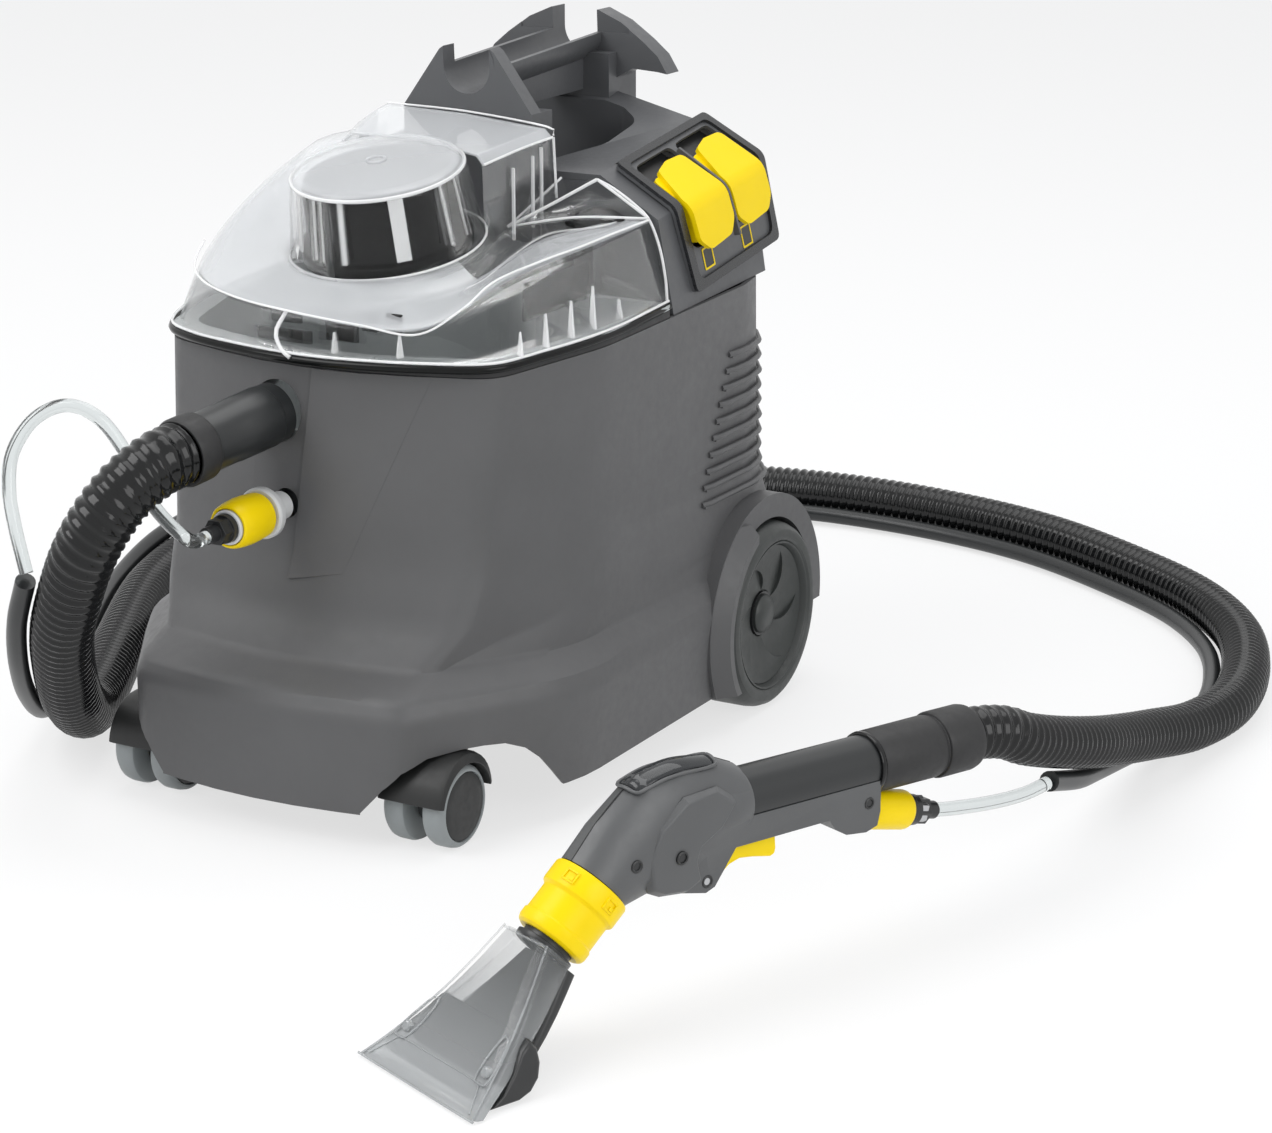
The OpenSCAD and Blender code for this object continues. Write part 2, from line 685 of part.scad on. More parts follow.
// Stations of the dome from the right rear corner round the front to the left one. Each has four points,
// of which the last three also have a height above the lid's foot: foot, top of the wall, ridge and valley.
dome_stations = [
    [[137, 49], [124, 48, 50], [114, 47, 51], [60, 47, 66]],
    [[138, 20], [117, 18, 47], [98, 27, 47], [59, 25, 50]],
    [[137, -10], [110, -12, 43], [80, 8, 43], [58, 0, 46]],
    [[134, -45], [101, -42, 39], [69, -22, 36], [60, -34, 43]],
    [[127, -80], [92, -80, 33], [71, -62, 28], [58, -62, 38]],
    [[113, -116], [86, -106, 21], [62, -94, 22], [47, -90, 34]],
    [[80, -133], [70, -129, 9], [44, -116, 19], [29, -104, 32]],
    [[40, -144], [38, -139, 13], [25, -127, 18], [11, -109, 31]],
    [[0, -148], [0, -143, 16], [-3, -133, 19], [-9, -109, 31]],
    [[-50, -142], [-46, -138, 19], [-40, -127, 22], [-32, -102, 33]],
    [[-90, -131], [-86, -119, 22], [-72, -108, 27], [-49, -85, 37]],
    [[-116, -112], [-114, -90, 25], [-96, -78, 34], [-58, -60, 42]],
    [[-132, -70], [-136, -50, 30], [-116, -40, 48], [-59, -30, 49]],
    [[-137, -20], [-145, -10, 38], [-124, 0, 68], [-60, 5, 68]],
    [[-138, 49], [-143, 47, 54], [-119, 47, 82], [-62, 47, 95]]];
dome_base = -40;                        // the dome's walls are drawn in towards this place on the Y axis
dome_reach = 120;
// One point of the dome, drawn in by t
function dome_point(p, t) =
    let (inward = 1 - t / dome_reach, y = dome_base + (p[1] - dome_base) * inward)
    len(p) == 2 ? [p[0] * inward, y, lid_foot + rim_rise * (y - lid_rear) - (t > 0 ? cut : 0)]
        : [p[0] * inward, y, lid_foot + p[2] * (roof_h - lid_foot) / 69 - t];
module dome(t) {
    last = len(dome_stations) - 1;
    loft([for (k = [0:3]) [for (i = [0:last]) dome_point(dome_stations[last - i][k], t)]]);
}

// The raised facet beside the spine, at the lid's right rear
module wedge(t) {
    hull() {
        translate([0, 47.6 - t, roof_h]) rotate([90, 0, 0]) linear_extrude(1)
            polygon([[60, -20], [60, 2 - 2.4 * t], [89, 3 - 2.4 * t], [122 - 4 * t, -18 - t], [110, -24]]);
        translate([47, 12 + t, roof_h - 28 - t]) cube([4, 2, 4]);
    }
}

module turret(t) {
    at_turret() translate([0, 0, -10])
        cylinder(h = turret_h + 10 - t, r1 = turret_r + turret_flare - t, r2 = turret_r - t);
}

module spine(t) {
    hull() {
        translate([0, plate_y - 1 - t, roof_h]) rotate([90, 0, 0]) linear_extrude(1)
            polygon([[t - 66, 0], [64 - t, -13], [62 - t, 28 - t], [57, 33 - t], [0, 38 - t], [-58, 39 - t],
                [t - 65, 35 - t]]);
        translate([0, -20, roof_h]) rotate([90, 0, 0]) linear_extrude(1)
            polygon([[t - 55, -8], [50 - t, -26], [49 - t, 19 - t], [44, 25 - t], [0, 30 - t], [-46, 30 - t],
                [t - 54, 25 - t]]);
    }
}

module clear_lid() {
    color([0.9, 0.92, 0.92, 0.35]) difference() {
        union() {
            difference() {
                dome(0);
                neck_room(0);
            }
            turret(0);
            spine(0);
            wedge(0);
        }
        difference() {
            dome(clear_t);
            neck_room(clear_t);
        }
        turret(clear_t);
        spine(clear_t);
        wedge(clear_t);
        translate([motor_x + duct_shift, 0, duct_z]) along_y(lid_rear - 10, lid_rear + 10, duct_r);
    }
}

cage_r = 45;
cage_floor = -12;
cage_h = 38;
module float_cage() {
    color([0.06, 0.06, 0.06]) at_turret() difference() {
        union() {
            translate([0, 0, cage_floor]) cylinder(h = cage_h, r = cage_r);
            translate([0, 0, -6]) cylinder(h = 6, r = turret_r + 3);
        }
        translate([0, 0, cage_floor + 3]) cylinder(h = cage_h - 6, r = cage_r - 3);
        translate([0, 0, cage_floor - cut]) cylinder(h = 10, r = 14);
        for (i = [0:3]) rotate([0, 0, 45 + 90 * i]) translate([0, 0, cage_floor + 21]) along_x(30, 60, 6);
    }
}
module float_cup() {
    color([0.85, 0.85, 0.85]) at_turret() translate([0, 0, cage_floor + 3 + gap]) cylinder(h = 16, r = 20);
}

// ---------------------------------------------------------------- rear wheels
module rear_wheel_right() {
    x0 = wheel_out - wheel_w;
    color([0.28, 0.3, 0.3]) at_axle() rotate([0, 90, 0]) difference() {
        rotate_extrude() polygon([[axle_r + run_gap, x0], [20, x0], [20, x0 + 12], [wheel_r - 10, x0 + 14],
            [wheel_r - 10, x0 + 2], [wheel_r - 2, x0], [wheel_r, x0 + 3], [wheel_r, wheel_out - 8],
            [wheel_r - 4, wheel_out - 2], [wheel_r - 12, wheel_out], [wheel_r - 15, wheel_out - 3],
            [wheel_r - 18, wheel_out - 14], [20, wheel_out - 16], [16, wheel_out - 8],
            [axle_r + run_gap, wheel_out - 8]]);
        for (i = [0:4]) rotate([0, 0, 72 * i]) translate([23, 0, x0 - cut]) rotate([0, 0, 18])
            cube([wheel_r - 44, 4, wheel_w]);
    }
}
module rear_wheel_left() { mirror([1, 0, 0]) rear_wheel_right(); }

module hub_cap_right() {
    color([0.3, 0.33, 0.33]) at_axle() rotate([0, 90, 0]) translate([0, 0, wheel_out - 8]) difference() {
        union() {
            cylinder(h = 6, r = 14);
            cylinder(h = 8, r = 12);
        }
        translate([0, 0, -cut]) cylinder(h = 4, r = axle_r + 1);
    }
}
module hub_cap_left() { mirror([1, 0, 0]) hub_cap_right(); }

// ---------------------------------------------------------------- casters
pintle_r = 3;
wheel_in = 6;
wheel_outer = 21;
module at_caster_axle() { translate([caster_x, -caster_y - caster_trail, caster_r]) children(); }

module caster_fork_right() {
    color([0.09, 0.09, 0.1]) difference() {
        union() {
            translate([caster_x, -caster_y, 2 * caster_r + 2]) {
                cylinder(h = arch_h - 2 * caster_r - 2, r = socket_r + 2);
                cylinder(h = stem_top - 2 * caster_r - 3, r = stem_r);
            }
            // web between the wheels
            at_caster_axle() along_x(-4, 4, 12);
            translate([caster_x, 0, 0]) box([-4, 4], [-caster_y - caster_trail - 8, -caster_y + 10],
                [caster_r, 2 * caster_r + 4]);
            // hood over both wheels
            intersection() {
                difference() {
                    at_caster_axle() along_x(-wheel_outer - 1, wheel_outer + 1, caster_r + 4.5);
                    at_caster_axle() along_x(-wheel_outer - 2, wheel_outer + 2, caster_r + 1.5);
                }
                translate([caster_x, 0, 0]) box([-30, 30], [-caster_y - caster_trail - 16, -caster_y - 4],
                    [caster_r + 10, 90]);
            }
        }
        at_caster_axle() along_x(-40, 40, pintle_r + run_gap);
    }
}
module caster_fork_left() { mirror([1, 0, 0]) caster_fork_right(); }

module caster_axle_right() {
    color([0.7, 0.7, 0.72]) at_caster_axle() along_x(3 - wheel_outer, wheel_outer - 3, pintle_r);
}
module caster_axle_left() { mirror([1, 0, 0]) caster_axle_right(); }

// A caster wheel whose outer face looks towards +X
module caster_wheel() {
    rotate([0, 90, 0]) rotate_extrude() polygon([[pintle_r + run_gap, wheel_in], [caster_r - 3, wheel_in],
        [caster_r, wheel_in + 3], [caster_r, wheel_outer - 3], [caster_r - 3, wheel_outer - 0.5],
        [caster_r - 4, wheel_outer - 1], [8, wheel_outer], [0, wheel_outer], [0, wheel_outer - 2],
        [pintle_r + run_gap, wheel_outer - 2]]);
}
module caster_wheel_right_outer() { color([0.3, 0.32, 0.33]) at_caster_axle() caster_wheel(); }
module caster_wheel_right_inner() {
    color([0.3, 0.32, 0.33]) at_caster_axle() mirror([1, 0, 0]) caster_wheel();
}
module caster_wheel_left_outer() { mirror([1, 0, 0]) caster_wheel_right_outer(); }
module caster_wheel_left_inner() { mirror([1, 0, 0]) caster_wheel_right_inner(); }

// ---------------------------------------------------------------- hand tool
// Its own frame stands on the floor at the nozzle's mouth, with +X from the mouth to the grip.
tool_x = 264;
tool_y = -437;
tool_turn = 67.2;
module at_tool() { translate([tool_x, tool_y, 0]) rotate([0, 0, tool_turn]) children(); }

neck_s = 76.5;                          // middle of the collar's lower face
neck_z = 56;
collar_len = 37;
neck_r = 14;
// Frame at the collar's lower face, with +Z up the neck
module at_neck() { translate([neck_s, 0, neck_z]) rotate([0, 90 - neck_slope, 0]) children(); }
grip_s = 192;                           // where the grip tube starts
grip_slope = 1.3;                       // downward slope of the grip in degrees
module at_grip() { translate([grip_s, 0, grip_h]) rotate([0, grip_slope, 0]) children(); }

// Shell sections: place along, height, slope, half width, half height
shell_rings = [[104.5, 81, neck_slope, 19.5, 20], [120, 90, 32, 19.5, 26], [140, 99, 14, 19, 34],
    [158, 101, 4, 19, 34.5], [176, 104, -4, 18, 28], [194, 104, -4, 17.5, 20]];
shell_points = 20;
function shell_ring(s, t) = [for (i = [0:shell_points - 1]) let (a = 360 * i / shell_points,
        y = (s[3] - t) * cos(a), z = (s[4] - t) * sin(a))
    [s[0] - z * sin(s[2]), y, s[1] + z * cos(s[2])]];
module shell_core(t, ends = 0) {
    last = len(shell_rings) - 1;
    loft([for (i = [0:last]) let (s = shell_rings[i], e = i == 0 ? -ends : (i == last ? ends : 0))
        shell_ring([s[0] + e * cos(s[2]), s[1] + e * sin(s[2]), s[2], s[3], s[4]], t)]);
}

pivot_s = 167;
pivot_z = 70;
trigger_pin_r = 2;
module at_pivot() { translate([pivot_s, 0, pivot_z]) rotate([90, 0, 0]) children(); }
keel_half = 15;
// The trough below the grip tube, and the rear ear that holds the coupling
module shell_keel(t) {
    translate([0, keel_half - t, 0]) rotate([90, 0, 0]) linear_extrude(2 * (keel_half - t))
        polygon([[150 + t, 68 + t], [166, 64 + t], [172, 66 + t], [186, 84 + t], [250, 83 + t],
            [254, 77 + t], [262, 72 + t], [276, 70 + t], [284 - t, 72 + t], [286 - t, 80], [286 - t, 97],
            [186, 99], [150 + t, 99]]);
}

// Places of the tool's screws: along, height, half width of the shell there
tool_screw_spots = [[118, 92, 18.5], [146, 90, 18.5], [278, 86, keel_half]];
tool_screw_len = 5;
coupling_s = 288.6;
coupling_z = 75.6;
coupling_slope = 14;
module at_tool_joint() { translate([coupling_s, 0, coupling_z]) rotate([0, coupling_slope, 0]) children(); }
module tool_shell() {
    difference() {
        union() {
            shell_core(0);
            shell_keel(0);
        }
        shell_core(wall, cut);
        shell_keel(wall);
        at_grip() along_x(-14, 130, grip_r + run_gap);
        box([198, 320], [-30, 30], [grip_h - 5, grip_h + 30]);
        box([pivot_s - 9, 224], [-8, 8], [40, 86.4]);
        at_pivot() cylinder(h = 60, r = trigger_pin_r + run_gap, center = true);
        at_tool_joint() along_x(-20, 20, plug_r + gap);
        window_prism(gap / 4);
        for (p = tool_screw_spots) translate([p[0], 0, p[1]]) rotate([90, 0, 0])
            cylinder(h = 80, r = 2.2, center = true);
    }
}

module window_prism(t) {
    translate([156, 0, 110]) linear_extrude(60) polygon(rounded([[-20 - t, -8 - t, 4], [20 + t, -8 - t, 4],
        [20 + t, 8 + t, 4], [-20 - t, 8 + t, 4]]));
}
module sight_window() {
    color([0.15, 0.16, 0.17]) at_tool() intersection() {
        difference() {
            shell_core(0.3);
            shell_core(wall, cut);
        }
        window_prism(0);
    }
}

module tool_shell_right() {
    color([0.42, 0.42, 0.43]) at_tool() intersection() {
        tool_shell();
        translate([0, -100, 0]) cube([400, 100, 300]);
    }
}
module tool_shell_left() {
    color([0.42, 0.42, 0.43]) at_tool() intersection() {
        tool_shell();
        cube([400, 100, 300]);
    }
}

module grip_tube() {
    color([0.13, 0.13, 0.14]) at_tool() at_grip() difference() {
        along_x(0, 100, grip_r);
        along_x(-10, 110, grip_r - 2.5);
    }
}
module tool_cuff() {
    color([0.12, 0.12, 0.12]) at_tool() at_grip() difference() {
        union() {
            along_x(97, 142, grip_r + 0.8);
            along_x(142, 170, grip_r + 1.2);
        }
        along_x(90, 100.3, grip_r + run_gap);
        along_x(90, 180, grip_r - 2.5);
    }
}

module bayonet_collar() {
    color([0.96, 0.88, 0.1]) at_tool() at_neck() rotate_extrude() polygon([[neck_r + run_gap, 1],
        [collar_r - 4, 1], [collar_r - 2.5, 4], [collar_r - 2, 24], [collar_r, 26],
        [collar_r, collar_len - 3],
        [neck_r + run_gap, collar_len - 3]]);
}

// A thin slab across the tool: middle along, height, length, width
module slab(x, z, l, w) { translate([x, 0, z]) linear_extrude(2) square([l, w], center = true); }
module neck_slab(x, z, l, w) { at_neck() slab(x, z, l, w); }

base_foot = 1;                          // the base's clearance above the floor
module nozzle_base() {
    color([0.09, 0.09, 0.1]) at_tool() difference() {
        union() {
            at_neck() translate([0, 0, -6]) cylinder(h = collar_len + 8, r = neck_r);
            hull() {
                slab(16, base_foot, 20, mouth_w - 8);
                slab(27, 24, 12, 80);
            }
            hull() {
                slab(27, 24, 12, 80);
                neck_slab(6, -6, 20, 34);
            }
        }
        at_neck() translate([0, 0, -20]) cylinder(h = 80, r = neck_r - 2.5);
        nozzle_air(0.3);
    }
}
// The clear duct from the mouth to the neck, grown by t
module nozzle_air(t) {
    hull() {
        slab(0, 0, 9 + 2 * t, mouth_w + 2 * t);
        neck_slab(-5, -8 + 2 * t, 20 + 2 * t, 36 + 2 * t);
    }
}
module clear_nozzle() {
    color([0.85, 0.87, 0.87, 0.5]) at_tool() difference() {
        nozzle_air(0);
        hull() {
            slab(0, -1, 5, mouth_w - 4);
            neck_slab(-5, -7, 16, 31);
        }
    }
}
module spray_jet() {
    color([0.7, 0.6, 0.3]) at_tool() translate([22, 0, 0]) cylinder(h = base_foot, r = 4);
}

module spray_trigger() {
    color([0.96, 0.88, 0.1]) at_tool() difference() {
        union() {
            translate([0, 7, 0]) rotate([90, 0, 0]) linear_extrude(14) polygon([[pivot_s - 2, pivot_z - 5],
                [pivot_s + 6, pivot_z - 5], [pivot_s + 12, pivot_z - 1], [191, 77], [216, 71.5],
                [218, 73], [218, 81], [190, 81], [pivot_s + 8, pivot_z + 8.5], [pivot_s, pivot_z + 5]]);
            at_pivot() cylinder(h = 14, r = 5.5, center = true);
        }
        at_pivot() cylinder(h = 40, r = trigger_pin_r + run_gap, center = true);
    }
}
module trigger_pin() {
    color([0.6, 0.6, 0.62]) at_tool() at_pivot()
        cylinder(h = 2 * keel_half - 0.4, r = trigger_pin_r, center = true);
}
valve_s = 182;
plunger_r = 2;
module valve_body() {
    color([0.3, 0.3, 0.32]) at_tool() difference() {
        box([176, 189], [-14.5, 14.5], [92, 102]);
        translate([valve_s, 0, 80]) cylinder(h = 20, r = plunger_r + run_gap);
    }
}
module valve_plunger() {
    color([0.75, 0.75, 0.78]) at_tool() translate([valve_s, 0, 81.2]) cylinder(h = 14, r = plunger_r);
}
module tool_screws() {
    color([0.3, 0.3, 0.3]) at_tool() for (p = tool_screw_spots, side = [-1, 1])
        translate([p[0], side * (p[2] - tool_screw_len / 2), p[1]]) rotate([90, 0, 0])
            cylinder(h = tool_screw_len, r = 2, center = true);
}
module at_tool_plug() { at_tool() at_tool_joint() rotate([0, 0, 90]) children(); }
module tool_coupling_plug() {
    color([0.1, 0.1, 0.1]) at_tool_plug() {
        coupling_plug();
        along_y(-1, 12, plug_r);
    }
}
module tool_coupling_sleeve() { color([0.96, 0.9, 0.1]) at_tool_plug() coupling_sleeve(11); }

// ---------------------------------------------------------------- hoses
hose_route = [[-31.5, -224, 231.4], [-34, -241, 229], [-42, -258, 218], [-53, -268, 200], [-66, -270, 178],
    [-84, -261, 150], [-104, -245, 122], [-126, -219, 91], [-152, -182, 55], [-178, -138, 27],
    [-205, -90, 19],
    [-255, 0, 19], [-310, 105, 19], [-334, 190, 19], [-332, 280, 19], [-302, 368, 19], [-245, 445, 19],
    [-165, 505, 19], [-80, 542, 19], [15, 562, 19], [110, 560, 18], [200, 536, 18], [285, 492, 17],
    [350, 444, 17], [398, 384, 17], [427, 315, 17], [440, 248, 17], [437, 185, 21], [431, 122, 34],
    [429, 70, 47], [429, 25, 60], [426, -20, 74], [421, -57, 87], [416, -76, 96], [409, -92, 100],
    [404.6, -102.4, 100.6]];
front_route = [[-12, -227, 186], [-12, -243, 189], [-43, -233, 202], [-63, -232, 232], [-76, -238, 251],
    [-94, -244, 257], [-111, -252, 248], [-119, -262, 230], [-118, -268, 210], [-112, -272, 190],
    [-103, -275, 164]];
rear_route = [[396, -124, 63], [401, -110, 60], [411, -80, 55], [419, -52, 52], [424, -30, 52]];
sheath_from = 5;                        // first and last hose ring with the sheath beside it
sheath_to = 31;
// Lean of the sheath around the hose at each ring, in degrees above the outer side of the bend
leans = [32, 15, 0, 0, 0, 0, 0, 12, 45, 78, 110, 142, 174, 200, 205, 205, 205, 205, 205, 205, 205, 205, 212,
    228, 243, 258, 268];
taper_from = 11;                        // the hose is stretched thinner from this ring to its last one
function ring_d(i) = hose_d
    - (hose_d - hose_end_d) * max(0, i - taper_from) / (len(hose_route) - 1 - taper_from);
function sheath_lean(i) = leans[i - sheath_from];
function beside(p, i, d) = let (h = heading(p, i), u = unit(cross([0, 0, 1], h)), v = cross(h, u))
    p[i] + d * (cos(sheath_lean(i)) * u + sin(sheath_lean(i)) * v);
sheath_route = [for (i = [sheath_from:sheath_to])
    beside(hose_route, i, (ring_d(i) + sheath_d) / 2 + 3 * gap)];

function heading(p, i) = unit(p[min(i + 1, len(p) - 1)] - p[max(i - 1, 0)]);
function tube_ring(p, i, r, n) = let (d = heading(p, i), u = unit(cross([0, 0, 1], d)), v = cross(d, u))
    [for (j = [0:n - 1]) p[i] + r * (cos(360 * j / n) * u + sin(360 * j / n) * v)];
module tube(p, r, n) { loft([for (i = [0:len(p) - 1]) tube_ring(p, i, r, n)]); }

module suction_hose() {
    color([0.07, 0.07, 0.07])
        loft([for (i = [0:len(hose_route) - 1]) tube_ring(hose_route, i, ring_d(i) / 2, 10)]);
}
module hose_sheath() { color([0.08, 0.08, 0.08]) tube(sheath_route, sheath_d / 2, 8); }
module spray_hose_front() { color([0.8, 0.82, 0.82]) tube(front_route, spray_d / 2, 8); }
module spray_hose_rear() { color([0.8, 0.82, 0.82]) tube(rear_route, spray_d / 2, 8); }

lower_housing();
base_plate();
rear_deck();
carry_handle();
switch_panel();
fresh_water_tank();
turbine_housing();
turbine_rotor();
spray_pump();
cable_gland();
inlet_elbow();
coupling_socket();
suction_duct();
rear_axle();
switch_pin();
caster_sockets();
base_screws();
vacuum_rocker();
spray_rocker();
dirty_water_tank();
tank_seal();
clear_lid();
float_cage();
float_cup();
rear_wheel_right();
rear_wheel_left();
hub_cap_right();
hub_cap_left();
caster_fork_right();
caster_fork_left();
caster_axle_right();
caster_axle_left();
caster_wheel_right_outer();
caster_wheel_right_inner();
caster_wheel_left_outer();
caster_wheel_left_inner();
machine_coupling_plug();
machine_coupling_sleeve();
machine_cuff();
suction_hose();
hose_sheath();
spray_hose_front();
spray_hose_rear();
tool_shell_right();
tool_shell_left();
sight_window();
grip_tube();
tool_cuff();
bayonet_collar();
clear_nozzle();
nozzle_base();
spray_jet();
spray_trigger();
trigger_pin();
valve_body();
valve_plunger();
tool_screws();
tool_coupling_plug();
tool_coupling_sleeve();
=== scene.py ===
# Spray extraction cleaner with its hoses and upholstery hand tool, dressed around its CAD frame
import json
import math

import bmesh
import bpy
from mathutils import Matrix, Vector
from mathutils.bvhtree import BVHTree


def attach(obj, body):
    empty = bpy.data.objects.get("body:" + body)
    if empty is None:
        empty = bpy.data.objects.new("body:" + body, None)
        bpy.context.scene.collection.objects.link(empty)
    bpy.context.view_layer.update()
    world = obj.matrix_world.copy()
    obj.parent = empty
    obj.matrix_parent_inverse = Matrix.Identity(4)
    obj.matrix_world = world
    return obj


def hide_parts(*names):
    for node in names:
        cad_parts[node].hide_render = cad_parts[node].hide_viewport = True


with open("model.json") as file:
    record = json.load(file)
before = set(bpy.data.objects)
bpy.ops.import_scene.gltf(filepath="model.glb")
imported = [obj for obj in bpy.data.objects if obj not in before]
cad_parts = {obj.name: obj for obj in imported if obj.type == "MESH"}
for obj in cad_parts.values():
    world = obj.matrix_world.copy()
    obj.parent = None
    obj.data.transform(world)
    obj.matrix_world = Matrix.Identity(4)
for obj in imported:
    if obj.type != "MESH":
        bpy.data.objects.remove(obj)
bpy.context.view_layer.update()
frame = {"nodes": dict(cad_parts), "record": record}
nodes = frame["nodes"]
scene = bpy.context.scene
mm = 0.001
bodyOf = {node: body for body, names in frame["record"]["behaviour"]["bodies"].items() for node in names}
slotOf = {part["node"]: part["material_slot"] for part in frame["record"]["subparts"]}


# A point given in millimetres
def spot(x, y, z):
    return Vector((x * mm, y * mm, z * mm))


# The same point back as plain millimetres
def inMm(point):
    return tuple(c / mm for c in point)


# A frame at a point in millimetres, turned about its own axes by degrees, in the order given
def frameAt(x, y, z, /, **turns):
    place = Matrix.Translation(spot(x, y, z))
    for axis, angle in turns.items():
        place = place @ Matrix.Rotation(math.radians(angle), 4, axis.upper())
    return place


# Smooth faces, and sharp edges where they turn by more than an angle in degrees
def markSharp(bm, angle):
    for face in bm.faces:
        face.smooth = True
    for edge in bm.edges:
        edge.smooth = len(edge.link_faces) == 2 and edge.calc_face_angle(0) < math.radians(angle)


# Rounded edges of a width in millimetres, where faces turn by more than the limit in degrees
def soften(piece, width, segments=2, limit=35):
    bevel = piece.modifiers.new("edges", "BEVEL")
    bevel.width = width * mm
    bevel.segments = segments
    bevel.limit_method = "ANGLE"
    bevel.angle_limit = math.radians(limit)
    bevel.use_clamp_overlap = True
    bevel.harden_normals = True


# Puts a mesh into the scene as a piece that rides on a body, finished in the given material
def placePiece(name, bm, body, material, stands):
    mesh = bpy.data.meshes.new(name)
    bm.to_mesh(mesh)
    bm.free()
    piece = bpy.data.objects.new(name, mesh)
    scene.collection.objects.link(piece)
    mesh.materials.append(material)
    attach(piece, body)
    if stands:
        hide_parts(stands)
    return piece


# A closed solid as a finished piece
def makePiece(name, bm, body, slot, material, stands=None, sharp=35, bevel=0.0, segments=2, limit=35):
    bmesh.ops.remove_doubles(bm, verts=bm.verts, dist=1e-6)
    bmesh.ops.recalc_face_normals(bm, faces=bm.faces)
    markSharp(bm, sharp)
    piece = placePiece(name, bm, body, material, stands)
    if bevel:
        soften(piece, bevel, segments, limit)
    return piece


# A piece in the place of a CAD node, riding on that node's body
def standIn(name, bm, node, material, **looks):
    return makePiece(name, bm, bodyOf[node], slotOf[node], material, node, **looks)


# An open skin as a finished piece: rounded by subdivision, then given its wall in millimetres
def shellPiece(name, bm, body, material, levels, wall, stands=None):
    for face in bm.faces:
        face.smooth = True
    piece = placePiece(name, bm, body, material, stands)
    if levels:
        rounded = piece.modifiers.new("rounded", "SUBSURF")
        rounded.levels = rounded.render_levels = levels
    solid = piece.modifiers.new("wall", "SOLIDIFY")
    solid.thickness = wall * mm
    solid.offset = -1.0
    solid.use_even_offset = True
    return piece


# A copy of a CAD node's mesh with its loose triangles merged
def mergedCopy(node):
    bm = bmesh.new()
    bm.from_mesh(nodes[node].data)
    bmesh.ops.remove_doubles(bm, verts=bm.verts, dist=2e-6)
    return bm


def joinFlatFaces(bm):
    bmesh.ops.dissolve_limit(bm, angle_limit=math.radians(0.6), verts=bm.verts, edges=bm.edges)


def cutPlane(bm, place, normal, **sides):
    parts = bm.verts[:] + bm.edges[:] + bm.faces[:]
    bmesh.ops.bisect_plane(bm, geom=parts, plane_co=place, plane_no=normal, **sides)


# Doubles a skin into a solid and gives back the points of its new side
def raiseSkin(bm):
    top = bmesh.ops.extrude_face_region(bm, geom=bm.faces[:])["geom"]
    return [part for part in top if isinstance(part, bmesh.types.BMVert)]


# A unit cube whose corners go where shape puts them in millimetres, and then into a frame
def addBlock(bm, shape, place=Matrix.Identity(4)):
    made = bmesh.ops.create_cube(bm, size=1.0)["verts"]
    for vert in made:
        vert.co = spot(*shape(*vert.co))
    bmesh.ops.transform(bm, matrix=place, verts=made)


# A shape spun round +Z from a profile of (radius, height) pairs in millimetres, then put in its frame
def spinProfile(profile, place, steps, closed=True):
    bm = bmesh.new()
    points = [bm.verts.new((r * mm, 0, z * mm)) for r, z in profile]
    edges = [bm.edges.new(pair) for pair in zip(points, points[1:])]
    if closed:
        edges.append(bm.edges.new((points[-1], points[0])))
    bmesh.ops.spin(bm, geom=points + edges, cent=(0, 0, 0), axis=(0, 0, 1), angle=2 * math.pi, steps=steps,
                   use_merge=True)
    bmesh.ops.remove_doubles(bm, verts=bm.verts, dist=1e-6)
    bmesh.ops.recalc_face_normals(bm, faces=bm.faces)
    bmesh.ops.transform(bm, matrix=place, verts=bm.verts)
    return bm


# A block lofted between matching cross-sections given in millimetres; an open one has no ends
def loftSections(sections, closed=True):
    bm = bmesh.new()
    rings = [[bm.verts.new(spot(*p)) for p in section] for section in sections]
    for a, b in zip(rings, rings[1:]):
        count = len(a)
        for j in range(count if closed else count - 1):
            bm.faces.new((a[j], a[(j + 1) % count], b[(j + 1) % count], b[j]))
    if closed:
        bm.faces.new(rings[0][::-1])
        bm.faces.new(rings[-1])
    bmesh.ops.recalc_face_normals(bm, faces=bm.faces)
    return bm


# Turns an open skin over if the face with that number looks down
def faceUp(bm, number):
    bmesh.ops.recalc_face_normals(bm, faces=bm.faces)
    bm.faces.ensure_lookup_table()
    if bm.faces[number].normal.z < 0:
        bmesh.ops.reverse_faces(bm, faces=bm.faces)


# An sRGB hex colour as linear values
def hexColour(text):
    parts = [int(text[i:i + 2], 16) / 255 for i in (1, 3, 5)]
    return [c / 12.92 if c <= 0.04045 else ((c + 0.055) / 1.055) ** 2.4 for c in parts] + [1.0]


# An input given as a socket is linked, another is set
def fillInputs(tree, node, inputs):
    for key, value in inputs.items():
        if isinstance(value, bpy.types.NodeSocket):
            tree.links.new(value, node.inputs[key])
        else:
            node.inputs[key].default_value = value


# Adds a shader node with its settings and links
def addNode(tree, kind, inputs=None, **settings):
    node = tree.nodes.new("ShaderNode" + kind)
    for key, value in settings.items():
        setattr(node, key, value)
    fillInputs(tree, node, inputs or {})
    return node


# A new material, its tree and the Object coordinates in it
def newMaterial(name):
    material = bpy.data.materials.new(name)
    material.use_nodes = True
    tree = material.node_tree
    tree.nodes.clear()
    shader = addNode(tree, "BsdfPrincipled")
    addNode(tree, "OutputMaterial", {"Surface": shader.outputs[0]})
    return material, tree, addNode(tree, "TexCoord").outputs["Object"]


# Sets or links inputs of a material's main shader
def setShader(material, inputs):
    tree = material.node_tree
    fillInputs(tree, tree.nodes["Principled BSDF"], inputs)


